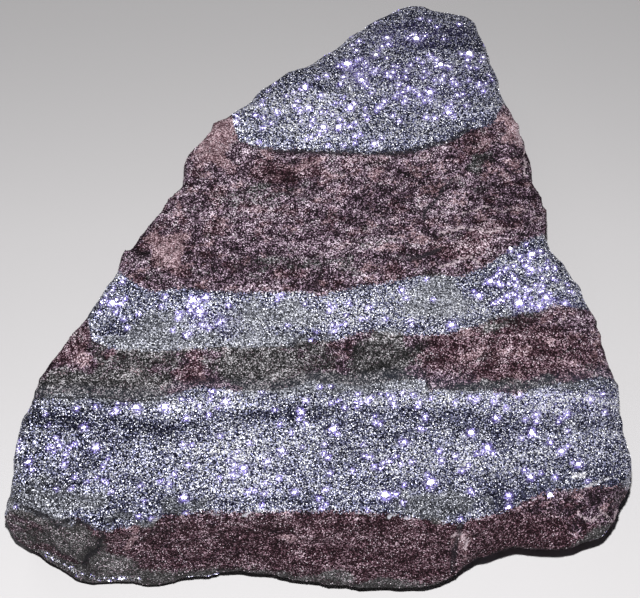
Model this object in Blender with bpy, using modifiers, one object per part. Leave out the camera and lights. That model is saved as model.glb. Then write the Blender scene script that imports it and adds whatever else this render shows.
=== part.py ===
"""A broken slab of banded specular hematite and red jasper, lying on its underside.

The stone is one closed body. A UV sphere is remapped onto three outlines: the rim of the
top face, the brow where the stone is widest, and the foot that it rests on. The skin is then
remeshed to an even grid and roughened band by band, and decimated to a faceted solid.

Lengths are in millimetres until the mesh is finished, and +Z is up. The outlines are drawn
with X across the slab and Y away from its front face, and the finished stone is moved so
that its box is centred on the origin.
"""
import math

import bmesh
import bpy
import numpy as np
from mathutils import Vector, noise

METRE = 0.001                       # one millimetre in Blender's units

# Heights
RIM_HEIGHT = 24.5                   # the top face above the surface that the stone lies on
SIDE_BROW_HEIGHT = 13.0             # where the flanks and the back are widest
SIDE_BULGE = 0.4                    # how far the flanks stand out past the rim
APEX_DROP = 3.5                     # the top face falls away towards the narrow end
APEX_FALL = (40.0, 64.0)            # from this Y to this one
APEX_CURVE = 1.4                    # above 1, the fall starts gently
LEFT_SAG = 1.2                      # the top face's left corner dips by this much
LEFT_SAG_X = (-48.0, -60.0)
RIGHT_SAG = 1.3                     # and its right edge by this much
RIGHT_SAG_X = (44.0, 58.0)
RIGHT_SAG_SLANT = 0.25              # which runs parallel to the right flank
RIM_ROUNDING = 0.9                  # the worn edge of the top face lies this much lower
RIM_ROUNDING_REACH = 0.035          # as a share of the way in from the rim
SEAT_DEPTH = 0.15                   # points of the underside lower than this are pressed flat

PIVOT = (5.0, -12.0)                # the outlines go round this point

FOOT_CURVE = 0.8                    # below 1, the side is steepest just above the foot

# The sphere's latitudes, as shares of a quarter turn, that become the rim and the foot
RIM_LEVEL = 0.4
FOOT_LEVEL = -1 / 3
SEGMENTS = 240
RINGS = 60

GRID = 1.1                          # the even skin's voxel size
EDGE_ALLOWANCE = 0.45               # the skin's grid and the worn edges take about this much back
FACETS = 9700                       # triangles in the finished solid

# The stone's stand-in colour
STONE_COLOUR = (0.16, 0.15, 0.17, 1.0)
STONE_ROUGHNESS = 0.55
STONE_METALLIC = 0.35

# The edge of the top face: up the left flank, round the narrow end and down the right flank
RIM_FLANKS = [
    (-59.0, -51.5), (-58.2, -48.7), (-57.9, -44.2), (-57.9, -40.0), (-57.2, -36.7), (-56.6, -33.9),
    (-56.4, -30.6), (-56.2, -28.1), (-55.7, -26.0), (-54.2, -22.2), (-51.0, -17.8), (-47.8, -14.1),
    (-44.9, -10.3), (-42.4, -5.2), (-39.9, -1.1), (-39.1, 2.5), (-36.6, 6.2), (-34.1, 9.6),
    (-30.2, 15.0), (-27.8, 19.2), (-27.1, 23.7), (-26.5, 27.1), (-24.2, 29.5), (-22.1, 31.7),
    (-20.8, 33.9), (-18.1, 35.7), (-13.9, 39.0), (-9.4, 43.4), (-5.4, 46.4), (-1.4, 48.9),
    (2.2, 51.7), (5.2, 55.2), (8.3, 58.3), (12.9, 61.7), (16.5, 64.1), (19.6, 65.1),
    (21.7, 65.0), (23.7, 63.8), (26.7, 63.6), (29.6, 63.0), (32.4, 61.6), (33.8, 58.9),
    (34.7, 54.2), (35.8, 49.1), (36.6, 43.7), (37.4, 39.5), (38.9, 37.5), (40.5, 34.2),
    (41.6, 30.1), (42.1, 26.0), (42.4, 20.3), (44.6, 15.7), (45.4, 11.2), (45.4, 6.7),
    (46.9, 3.4), (49.2, -1.1), (51.3, -4.2), (53.2, -9.3), (54.7, -14.3), (55.8, -18.8),
    (56.4, -22.8), (57.2, -26.7), (57.8, -31.1), (58.7, -35.4), (59.3, -39.7), (59.5, -44.2),
]
# and along the crest of the front face, from right to left
RIM_FRONT = [
    (57.9, -46.4), (55.7, -47.3), (49.5, -47.6), (44.6, -48.2), (39.0, -50.0), (33.3, -52.6),
    (28.3, -54.2), (26.4, -55.1), (25.0, -54.6), (20.6, -53.6), (13.2, -53.0), (5.0, -52.7),
    (-0.5, -52.1), (-8.8, -52.1), (-17.0, -52.6), (-23.2, -52.4), (-28.6, -53.0), (-32.6, -54.8),
    (-38.0, -55.5), (-40.2, -56.1), (-42.4, -55.8), (-45.2, -53.9), (-47.1, -54.4), (-51.2, -53.3),
    (-55.1, -52.2),
]
# The lower edge of the front face, from left to right: X, Y and height
BROW_FRONT = [
    (-60.9, -50.0, 17.0), (-59.6, -51.6, 11.0), (-55.0, -54.6, 6.5), (-49.4, -57.6, 5.0),
    (-43.8, -58.7, 4.0), (-35.6, -59.0, 4.0), (-31.9, -59.7, 4.0), (-26.7, -58.7, 6.0),
    (-19.7, -57.9, 7.0), (-15.4, -57.6, 8.0), (-9.0, -58.6, 8.0), (-3.3, -59.7, 7.0),
    (5.1, -60.8, 7.0), (13.3, -61.2, 7.0), (23.1, -60.5, 8.0), (27.2, -59.2, 11.0),
    (29.7, -57.9, 14.0), (32.7, -56.9, 15.0), (36.6, -55.9, 16.0), (42.1, -56.9, 16.0),
    (47.7, -56.2, 16.0), (54.0, -54.0, 16.0), (59.0, -50.6, 16.0), (60.6, -45.6, 17.5),
]
# How far the foot lies inside the brow, by the compass angle from +X
FOOT_INSETS = [
    (-180, 3.5), (-140, 4.0), (-125, 5.0), (-105, 8.0), (-85, 8.5), (-70, 11.0),
    (-55, 14.0), (-40, 12.0), (-25, 5.0), (20, 3.0), (75, 4.5), (110, 5.0), (180, 3.5),
]

# Where one band meets the next on the top face, from the front to the narrow end
BAND_EDGES = [
    # front jasper to wide hematite: the crest of the front face
    [(x, y) for x, y in reversed(RIM_FRONT)],
    # wide hematite to thin jasper
    [(-62.0, -28.4), (-48.9, -29.0), (-43.3, -28.9), (-37.7, -29.6), (-32.1, -29.6), (-27.1, -28.5),
     (-23.1, -27.3), (-16.0, -28.0), (-8.4, -28.4), (-3.9, -27.8), (-1.6, -26.7), (6.5, -27.3),
     (12.2, -26.7), (15.0, -25.8), (20.3, -25.0), (20.9, -27.1), (28.6, -27.2), (34.2, -28.1),
     (38.7, -28.3), (40.7, -27.3), (49.8, -26.4), (54.1, -25.2), (62.0, -23.5)],
    # thin jasper to middle hematite
    [(-62.0, -6.0), (-46.0, -9.5), (-44.6, -16.0), (-40.9, -18.3), (-34.2, -18.9), (-29.1, -18.6),
     (-19.9, -17.8), (-12.8, -17.8), (-5.7, -17.6), (-3.7, -16.3), (2.7, -16.3), (5.6, -15.5),
     (9.8, -14.4), (17.4, -15.1), (25.8, -14.9), (29.3, -13.9), (35.0, -11.2), (42.0, -10.2),
     (45.5, -9.2), (62.0, -9.6)],
    # middle hematite to wide jasper
    [(-62.0, 4.0), (-41.0, 0.2), (-37.9, -2.8), (-36.4, -4.3), (-33.2, -5.6), (-26.0, -5.9),
     (-18.8, -6.3), (-10.1, -6.9), (-2.9, -6.1), (0.0, -7.3), (2.8, -6.0), (7.0, -5.0),
     (12.3, -4.0), (19.7, -2.8), (28.2, -2.4), (33.6, 0.0), (37.3, 3.2), (39.8, 4.9),
     (45.3, 7.3), (62.0, 12.0)],
    # wide jasper to end hematite
    [(-62.0, 45.0), (-18.6, 40.0), (-17.6, 31.4), (-16.2, 28.9), (-13.5, 27.7), (-8.2, 27.3),
     (0.0, 26.8), (8.2, 26.5), (14.3, 26.5), (20.4, 27.0), (24.5, 28.2), (28.7, 30.1),
     (32.8, 32.1), (36.0, 33.5), (38.0, 38.5), (62.0, 40.0)],
]
EDGE_SOFTNESS = 0.7                 # a ledge between bands rises over this distance each way

# How far each band's surface lies above the mean top face
FRONT_JASPER_LEVEL = -0.3
WIDE_HEMATITE_LEVEL = 0.1
THIN_JASPER_LEVEL = -0.6            # in its left part
THIN_JASPER_STEP = 0.9              # its right part stands this much higher
THIN_JASPER_STEP_X = (19.0, 23.0)
MIDDLE_HEMATITE_LEVEL = 0.0
WIDE_JASPER_LEVEL = 0.9             # beside the middle hematite, and sinking away from it
WIDE_JASPER_FALL = 24.0             # over this distance
END_HEMATITE_LEVEL = 0.8

# Small ledges: start, end, rise on the left of the line from start to end, and how far it reaches
LEDGES = [
    ((25.5, 20.5), (19.0, 10.5), 0.9, 7.0),      # the scarp across the wide jasper
    ((8.0, 3.0), (25.5, 4.6), 0.9, 5.0),         # the shelf above its last hollow
    ((-4.0, -3.2), (12.5, -1.0), 0.7, 4.0),      # the lip along the middle hematite
    ((20.8, -20.5), (20.8, -27.5), 0.8, 5.0),    # the step that ends the green part
    ((-44.0, -22.0), (-30.0, -27.0), 0.5, 5.0),  # the broken left end of the thin jasper
    ((40.0, 9.5), (46.0, 6.5), 0.6, 5.0),        # the right end of the wide jasper
]
LEDGE_END = 3.0                     # a ledge fades in over this distance each way at its ends
LEDGE_WIDTH = 0.6                   # and rises over this distance each side of its line
LEDGE_FULL = 0.3                    # it keeps its height over this share of its reach

# Where roughness belongs to the top face or the underside, by the upright part of the normal
LEVEL_NORMAL = (0.55, 0.9)
FRONT_Y = (-40.0, -47.0)            # a side this far forward is part of the front face
FRONT_LUMPS = 0.6                   # the front face's share of jasper lumps; the rest is chips

# Layers of roughness: height, wave length by axis, octaves and seed, and for ridges their middle
JASPER_RIDGES = (1.1, (11.0, 7.0, 7.0), 4, 3.1, 0.55)
JASPER_GRAIN = (0.4, (4.5, 3.0, 3.0), 3, 11.7)
JASPER_FACETS = (0.45, (8.0, 5.0, 5.0), 5.3)
HEMATITE_RIPPLES = (0.45, (24.0, 5.0, 12.0), 3, 23.9)
HEMATITE_GRAIN = (0.2, (4.0, 3.0, 3.0), 2, 31.3)
SIDE_RIDGES = (1.2, (13.0, 13.0, 9.0), 4, 41.5, 0.6)
SIDE_GRAIN = (0.5, 5.0, 3, 53.2)
SIDE_FACETS = (0.75, (9.0, 9.0, 7.0), 83.6)
UNDER_HOLLOWS = (2.0, 22.0, 3, 67.4)
UNDER_GRAIN = (0.7, 6.0, 3, 71.8)
UNDER_DROP = 0.2                    # the underside as a whole lies this much lower


def smoothstep(low, high, value):
    share = np.clip((value - low) / (high - low), 0.0, 1.0)
    return share * share * (3.0 - 2.0 * share)


def field(points, scale, octaves, seed):
    """Fractal noise of about -1 to 1 at each point. scale is the length of its largest waves, by axis."""
    stretch = np.broadcast_to(np.asarray(scale, float), (3,))
    moved = points / stretch + seed
    return np.array([noise.fractal(Vector(p), 1.0, 2.0, octaves) for p in moved])


def ridges(points, scale, octaves, seed, middle):
    """Sharp-crested noise, as on a hackly break: about 0 to 1, less its middle."""
    stretch = np.broadcast_to(np.asarray(scale, float), (3,))
    moved = points / stretch + seed
    return np.array([
        noise.ridged_multi_fractal(Vector(p), 1.0, 2.0, octaves, 1.0, 2.0) for p in moved
    ]) / 2.0 - middle


def facets(points, size, seed):
    """Flat, tilted facets of about -1 to 1 with sharp steps between them, as hard rock breaks."""
    heights = []
    for p in points / size + seed:
        nearest = noise.voronoi(Vector(p))[1][0]
        tilt = noise.cell_vector(nearest * 7.3)
        heights.append((Vector(p) - nearest).dot(tilt * 2.0 - Vector((1.0, 1.0, 1.0))))
    return np.array(heights)


def layer(points, kind, height, *shape):
    """One layer of roughness, in millimetres."""
    return height * kind(points, *shape)


def polar(outline):
    """Angle, radius and any height of an outline's points round the pivot, in order of angle."""
    points = np.array(outline, float)
    across = points[:, :2] - PIVOT
    angle = np.arctan2(across[:, 1], across[:, 0])
    order = np.argsort(angle)
    return angle[order], np.hypot(across[:, 0], across[:, 1])[order], points[order, 2:]


def edge_y(edge, x):
    return np.interp(x, [p[0] for p in edge], [p[1] for p in edge])


def band_levels(x, y):
    """The height of each band's surface above the mean top face, blended across the band edges."""
    thin_jasper = THIN_JASPER_LEVEL + THIN_JASPER_STEP * smoothstep(*THIN_JASPER_STEP_X, x)
    sunk = smoothstep(0.0, WIDE_JASPER_FALL, y - edge_y(BAND_EDGES[3], x))
    wide_jasper = WIDE_JASPER_LEVEL - WIDE_JASPER_LEVEL * sunk
    height = FRONT_JASPER_LEVEL
    levels = [WIDE_HEMATITE_LEVEL, thin_jasper, MIDDLE_HEMATITE_LEVEL, wide_jasper, END_HEMATITE_LEVEL]
    for edge, level in zip(BAND_EDGES, levels):
        past = y - edge_y(edge, x)
        height = height + (level - height) * smoothstep(-EDGE_SOFTNESS, EDGE_SOFTNESS, past)
    return height


def jasper_share(x, y):
    """1 in a jasper band and 0 in a hematite one."""
    share = np.ones_like(x)
    for number, edge in enumerate(BAND_EDGES):
        is_jasper = float(number in (1, 3))
        past = smoothstep(-EDGE_SOFTNESS, EDGE_SOFTNESS, y - edge_y(edge, x))
        share = share + (is_jasper - share) * past
    return share


def ledge_height(x, y):
    height = np.zeros_like(x)
    for start, end, rise, reach in LEDGES:
        along = np.subtract(end, start)
        length = math.hypot(*along)
        along = along / length
        run = (x - start[0]) * along[0] + (y - start[1]) * along[1]
        side = (y - start[1]) * along[0] - (x - start[0]) * along[1]
        ends = smoothstep(-LEDGE_END, LEDGE_END, run) * smoothstep(-LEDGE_END, LEDGE_END, length - run)
        fade = 1.0 - smoothstep(reach * LEDGE_FULL, reach, np.abs(side))
        height = height + rise * (smoothstep(-LEDGE_WIDTH, LEDGE_WIDTH, side) - 0.5) * ends * fade
    return height


def top_height(x, y):
    """The top face's height, without its finer roughness."""
    fall = APEX_DROP * smoothstep(*APEX_FALL, y) ** APEX_CURVE
    left_sag = LEFT_SAG * smoothstep(*LEFT_SAG_X, x)
    right_sag = RIGHT_SAG * smoothstep(*RIGHT_SAG_X, x + RIGHT_SAG_SLANT * y)
    return RIM_HEIGHT + band_levels(x, y) + ledge_height(x, y) - fall - left_sag - right_sag


def side_of(level, low, high):
    return np.clip((level - low) / (high - low), 0.0, 1.0)


def shaped(sphere):
    """The unit sphere's points moved onto the stone: top face, front and flanks, foot, underside."""
    angle = np.arctan2(sphere[:, 1], sphere[:, 0])
    level = np.arcsin(np.clip(sphere[:, 2], -1.0, 1.0)) / (math.pi / 2)
    turn = 2 * math.pi

    rim_angle, rim_radius, _ = polar(RIM_FLANKS + RIM_FRONT)
    rim = np.interp(angle, rim_angle, rim_radius + EDGE_ALLOWANCE, period=turn)

    front_angle, front_radius, front_height = polar(BROW_FRONT)
    in_front = (angle > front_angle[0]) & (angle < front_angle[-1])
    front = np.interp(angle, front_angle, front_radius + EDGE_ALLOWANCE)
    brow = np.where(in_front, front, rim + SIDE_BULGE)
    brow_height = np.where(
        in_front, np.interp(angle, front_angle, front_height[:, 0]), SIDE_BROW_HEIGHT
    )
    inset_angle = [math.radians(a) for a, _ in FOOT_INSETS]
    foot = brow - np.interp(angle, inset_angle, [inset for _, inset in FOOT_INSETS])

    radius = np.select(
        [level >= RIM_LEVEL, level >= 0.0, level >= FOOT_LEVEL],
        [
            rim * (1.0 - level) / (1.0 - RIM_LEVEL),
            brow + (rim - brow) * side_of(level, 0.0, RIM_LEVEL),
            foot + (brow - foot) * side_of(level, FOOT_LEVEL, 0.0) ** FOOT_CURVE,
        ],
        foot * (1.0 + level) / (1.0 + FOOT_LEVEL),
    )
    x = PIVOT[0] + radius * np.cos(angle)
    y = PIVOT[1] + radius * np.sin(angle)
    rim_z = top_height(PIVOT[0] + rim * np.cos(angle), PIVOT[1] + rim * np.sin(angle)) - RIM_ROUNDING
    near_rim = smoothstep(1.0 - RIM_ROUNDING_REACH, 1.0, (1.0 - level) / (1.0 - RIM_LEVEL))
    z = np.select(
        [level >= RIM_LEVEL, level >= 0.0, level >= FOOT_LEVEL],
        [
            top_height(x, y) - RIM_ROUNDING * near_rim,
            brow_height + (rim_z - brow_height) * side_of(level, 0.0, RIM_LEVEL),
            brow_height * side_of(level, FOOT_LEVEL, 0.0),
        ],
        0.0,
    )
    return np.stack([x, y, z], axis=1)


def make_core(collection):
    """The stone's smooth form as an even, closed skin."""
    bm = bmesh.new()
    bmesh.ops.create_uvsphere(bm, u_segments=SEGMENTS, v_segments=RINGS, radius=1.0)
    points = shaped(np.array([v.co for v in bm.verts], float))
    for vertex, point in zip(bm.verts, points):
        vertex.co = point
    bmesh.ops.recalc_face_normals(bm, faces=bm.faces)
    mesh = bpy.data.meshes.new("core")
    bm.to_mesh(mesh)
    bm.free()

    core = bpy.data.objects.new("core", mesh)
    collection.objects.link(core)
    remesh = core.modifiers.new("even_skin", "REMESH")
    remesh.mode = "VOXEL"
    remesh.voxel_size = GRID
    bpy.context.view_layer.update()
    evaluated = core.evaluated_get(bpy.context.evaluated_depsgraph_get())
    skin = bpy.data.meshes.new_from_object(evaluated)
    bpy.data.objects.remove(core)
    return skin


def roughen(mesh):
    """Moves the skin's points by band: lumps on jasper, low ripples on hematite, chips on the sides."""
    bm = bmesh.new()
    bm.from_mesh(mesh)
    bm.normal_update()
    points = np.array([v.co for v in bm.verts], float)
    normals = np.array([v.normal for v in bm.verts], float)
    x, y, z = points.T

    jasper = jasper_share(x, y)
    top = smoothstep(*LEVEL_NORMAL, normals[:, 2])
    under = smoothstep(*LEVEL_NORMAL, -normals[:, 2])
    side = 1.0 - np.maximum(top, under)

    lumps = layer(points, ridges, *JASPER_RIDGES)
    lumps += layer(points, field, *JASPER_GRAIN) + layer(points, facets, *JASPER_FACETS)
    ripples = layer(points, field, *HEMATITE_RIPPLES) + layer(points, field, *HEMATITE_GRAIN)
    chips = layer(points, ridges, *SIDE_RIDGES)
    chips += layer(points, field, *SIDE_GRAIN) + layer(points, facets, *SIDE_FACETS)
    hollows = layer(points, field, *UNDER_HOLLOWS) + layer(points, field, *UNDER_GRAIN) - UNDER_DROP

    face = jasper * lumps + (1.0 - jasper) * ripples
    front = side * smoothstep(*FRONT_Y, y)
    broken = FRONT_LUMPS * lumps + (1.0 - FRONT_LUMPS) * chips
    move = top * face + (side - front) * chips + front * broken
    points += normals * move[:, None]
    points[:, 2] += under * (hollows - move)

    for vertex, point in zip(bm.verts, points):
        vertex.co = point
    bm.to_mesh(mesh)
    bm.free()
    return mesh


def stone_material():
    material = bpy.data.materials.new("banded_stone")
    material.use_nodes = True
    shader = material.node_tree.nodes["Principled BSDF"]
    shader.inputs["Base Color"].default_value = STONE_COLOUR
    shader.inputs["Roughness"].default_value = STONE_ROUGHNESS
    shader.inputs["Metallic"].default_value = STONE_METALLIC
    return material


def thinned(mesh, collection):
    """The mesh with fewer triangles, spent where the surface bends most."""
    full = bpy.data.objects.new("full", mesh)
    collection.objects.link(full)
    thin = full.modifiers.new("facets", "DECIMATE")
    thin.ratio = FACETS / sum(len(p.vertices) - 2 for p in mesh.polygons)
    thin.use_collapse_triangulate = True
    bpy.context.view_layer.update()
    evaluated = full.evaluated_get(bpy.context.evaluated_depsgraph_get())
    finished = bpy.data.meshes.new_from_object(evaluated)
    bpy.data.objects.remove(full)
    return finished


def make_stone():
    collection = bpy.data.collections.new("specular_hematite")
    bpy.context.scene.collection.children.link(collection)
    mesh = thinned(roughen(make_core(collection)), collection)
    mesh.name = "banded_stone"
    points = np.array([v.co for v in mesh.vertices], float)
    points[points[:, 2] < SEAT_DEPTH, 2] = 0.0
    points[:, :2] -= (points[:, :2].min(axis=0) + points[:, :2].max(axis=0)) / 2
    for vertex, point in zip(mesh.vertices, points):
        vertex.co = point * METRE
    mesh.materials.clear()
    mesh.materials.append(stone_material())
    mesh.shade_flat()
    collection.objects.link(bpy.data.objects.new("banded_stone", mesh))


for leftover in list(bpy.data.objects):
    bpy.data.objects.remove(leftover)
make_stone()
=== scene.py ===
"""A slab of banded specular hematite: glittering blue-gray hematite between rough red jasper.

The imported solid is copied, remeshed to an even fine skin and roughened band by band. The zones of
the rock are stored on the skin as attributes, which its material reads. The hematite's plates and
the jasper's grains are small solids of their own, bedded in the skin in a few joined meshes.
"""
import math

import bmesh
import bpy
import numpy as np
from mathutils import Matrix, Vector, kdtree, noise


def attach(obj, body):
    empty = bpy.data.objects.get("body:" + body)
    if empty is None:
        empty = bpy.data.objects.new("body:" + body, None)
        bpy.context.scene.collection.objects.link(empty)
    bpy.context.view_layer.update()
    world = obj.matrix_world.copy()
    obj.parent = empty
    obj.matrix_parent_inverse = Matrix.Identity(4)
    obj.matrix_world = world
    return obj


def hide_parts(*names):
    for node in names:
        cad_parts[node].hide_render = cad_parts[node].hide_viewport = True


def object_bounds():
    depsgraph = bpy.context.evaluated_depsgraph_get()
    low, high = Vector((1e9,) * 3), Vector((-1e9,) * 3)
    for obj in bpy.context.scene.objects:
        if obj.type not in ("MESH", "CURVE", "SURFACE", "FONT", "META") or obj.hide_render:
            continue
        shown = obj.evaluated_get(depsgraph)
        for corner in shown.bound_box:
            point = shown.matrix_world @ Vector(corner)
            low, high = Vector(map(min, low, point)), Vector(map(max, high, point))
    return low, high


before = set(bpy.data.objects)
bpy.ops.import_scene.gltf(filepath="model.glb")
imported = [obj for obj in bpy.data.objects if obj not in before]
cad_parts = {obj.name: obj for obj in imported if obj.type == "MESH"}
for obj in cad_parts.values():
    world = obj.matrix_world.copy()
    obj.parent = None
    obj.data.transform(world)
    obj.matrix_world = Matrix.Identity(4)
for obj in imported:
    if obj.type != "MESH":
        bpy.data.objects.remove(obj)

CAD_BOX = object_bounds()
MM = 0.001                          # the band map, the relief and the noise are in millimetres
MAP_SHIFT = np.array([0.14, -2.19])     # where the band map's origin lies in the part's frame
TOP = 24.5                          # the mean height of the top face
DIP = 0.15                          # the bands lean towards the narrow end as they go down
SKIN_GRID = 0.61 * MM               # the spacing of the skin's points
SAME_PLACE = 1e-6                   # points of the solid closer than this are one
FRONT_AXES = [0, 2]                 # the steep front face is mapped along X and Z

CAMERA_ELEVATION = 62.0
FLASH_AZIMUTH, FLASH_ELEVATION = -0.5, 67.6

# Where one band meets the next, from the front to the narrow end
CREST = [
    (-62, -51), (-58.9, -51.3), (-55.1, -52.2), (-51.2, -53.3), (-47.1, -54.4), (-45.2, -53.9),
    (-42.4, -55.8), (-40.2, -56.1), (-38, -55.5), (-32.6, -54.8), (-28.6, -53), (-23.2, -52.4),
    (-17, -52.6), (-8.8, -52.1), (-0.5, -52.1), (5, -52.7), (13.2, -53), (20.6, -53.6), (25, -54.6),
    (26.4, -55.1), (28.3, -54.2), (33.3, -52.6), (39, -50), (44.6, -48.2), (49.5, -47.6), (55.7, -47.3),
    (59, -46), (62, -44),
]
WIDE_HEMATITE_END = [
    (-62, -28.4), (-48.9, -28.3), (-43.3, -28.2), (-37.7, -28.9), (-32.1, -28.9), (-27.1, -27.8),
    (-23.1, -26.6), (-16, -27.3), (-8.4, -27.2), (-3.9, -26.3), (-1.6, -25.2), (6.5, -25.7),
    (12.2, -25.2), (15, -24.6), (20.3, -25), (20.9, -27.1), (28.6, -27.2), (34.2, -28.1), (38.7, -28.3),
    (40.7, -26.7), (49.8, -25.8), (54.1, -24.6), (62, -23.5),
]
THIN_JASPER_END = [
    (-62, -6), (-46, -9.5), (-44.6, -16), (-40.9, -18.3), (-34.2, -18.9), (-29.1, -18.6), (-19.9, -17.8),
    (-12.8, -17.8), (-5.7, -17.6), (-3.7, -16.3), (2.7, -16.3), (5.6, -15.5), (9.8, -14.4), (17.4, -15.1),
    (25.8, -14.9), (29.3, -13.9), (35, -11.2), (42, -10.2), (45.5, -9.2), (62, -9.6),
]
MIDDLE_HEMATITE_END = [
    (-62, 4), (-41, 0.2), (-37.9, -2.8), (-36.4, -4.3), (-33.2, -5.6), (-26, -5.5), (-18.8, -5.9),
    (-10.1, -6.5), (-2.9, -5.7), (0, -7.3), (2.8, -6), (7, -5), (12.3, -4), (19.7, -2.8), (28.2, -2.4),
    (33.6, 0), (37.3, 3.2), (39.8, 4.9), (45.3, 7.3), (62, 12),
]
WIDE_JASPER_END = [
    (-62, 45), (-18.6, 40), (-17.6, 31.4), (-16.2, 28.9), (-13.5, 27.7), (-8.2, 27.3), (0, 26.8),
    (8.2, 26.5), (14.3, 26.5), (20.4, 27), (24.5, 28.2), (28.7, 30.1), (32.8, 32.1), (36, 33.5),
    (38, 38.5), (62, 40),
]
FRONT_JASPER_DEPTH = 11.5           # a thin hematite layer lies in front of and below the front jasper

# Zones with soft, ragged edges: centre X and Y, half-lengths along them, turn in degrees, strength
GRAY_ZONES = [
    (-42.5, -26.2, 17, 4, 0, 1), (-13, -22, 7.5, 5, 0, 0.9), (-6, -26.5, 9, 2.2, 0, 0.8),
    (13, -19.5, 6.5, 5.5, 0, 1), (3.5, -25.5, 16, 2.4, 0, 0.9), (36, -12.5, 10, 2.4, 14, 0.4),
    (38, -26.6, 20, 1.6, 2, 0.6), (23, -7, 7, 5, 0, 1), (-31.3, -13.6, 8, 4.6, -4, 0.6),
    (-9, -11.5, 13, 3.6, 3, 0.7), (-55, -53, 6, 2.6, -8, 0.8), (-36.3, -53.9, 5.2, 1.5, -4, 0.8),
    (-25.9, -51.4, 5, 1.2, 0, 0.6), (-13.1, 16.4, 12, 2.6, 0, 0.35), (33, 23.7, 3, 2, 0, 0.5),
    (16.2, 5, 9, 1.5, 4, 0.35), (-5, 0, 13, 2.6, 0, 0.35), (-49.5, -50.4, 11, 2.4, 0, 1),
    (-54, -46, 7, 6, 0, 0.25), (22, -50.8, 9, 2.6, 0, 0.9), (-1.5, -20.5, 6, 4, 0, 0.55),
    (-35, -20.3, 8, 2.6, 0, 0.65), (-24, -16.6, 26, 2, 0, 0.6),
]
MAROON_ZONES = [
    (36, -19, 18, 7.5, 0, 1), (-24.5, -22.6, 5, 3.3, 0, 0.9), (-49, -17.5, 5.5, 5, 0, 0.8),
    (-38, -19.8, 6, 1.5, 0, 0.6), (-7.3, 21.8, 10.5, 3.2, 0, 0.9), (-21, 8.9, 2.6, 2.2, 0, 0.8),
    (-29, 5, 5, 8, 0, 0.4), (27, 3.4, 9, 3.4, 6, 0.7), (33, 29.5, 6, 3, 24, 0.6),
    (5, -17.5, 5, 1.4, 0, 0.5), (-57.2, -52.9, 2, 1.3, 0, 0.9), (24, -56.5, 34, 6, 0, 0.45),
]
SALMON_ZONES = [
    (-21.6, 30.4, 6.6, 4.4, 58, 1), (-20.5, 24.6, 3.4, 2.4, 20, 0.6), (-30.2, 5.4, 4.6, 2, 4, 0.75),
    (-29.6, 1.3, 3, 2.6, 0, 0.8), (39.7, 33, 1.9, 4, 10, 0.9), (36.7, 21.5, 2.4, 1.8, 0, 0.55),
    (22, 20.5, 4, 2, 0, 0.25), (19.6, 6.4, 7, 1.2, 2, 0.4), (-45.9, -19.7, 2.4, 2.4, 30, 0.45),
    (28.9, -15.2, 3, 1.3, 0, 0.4), (54.1, -18.6, 2, 3.4, -20, 0.5),
]
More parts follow.
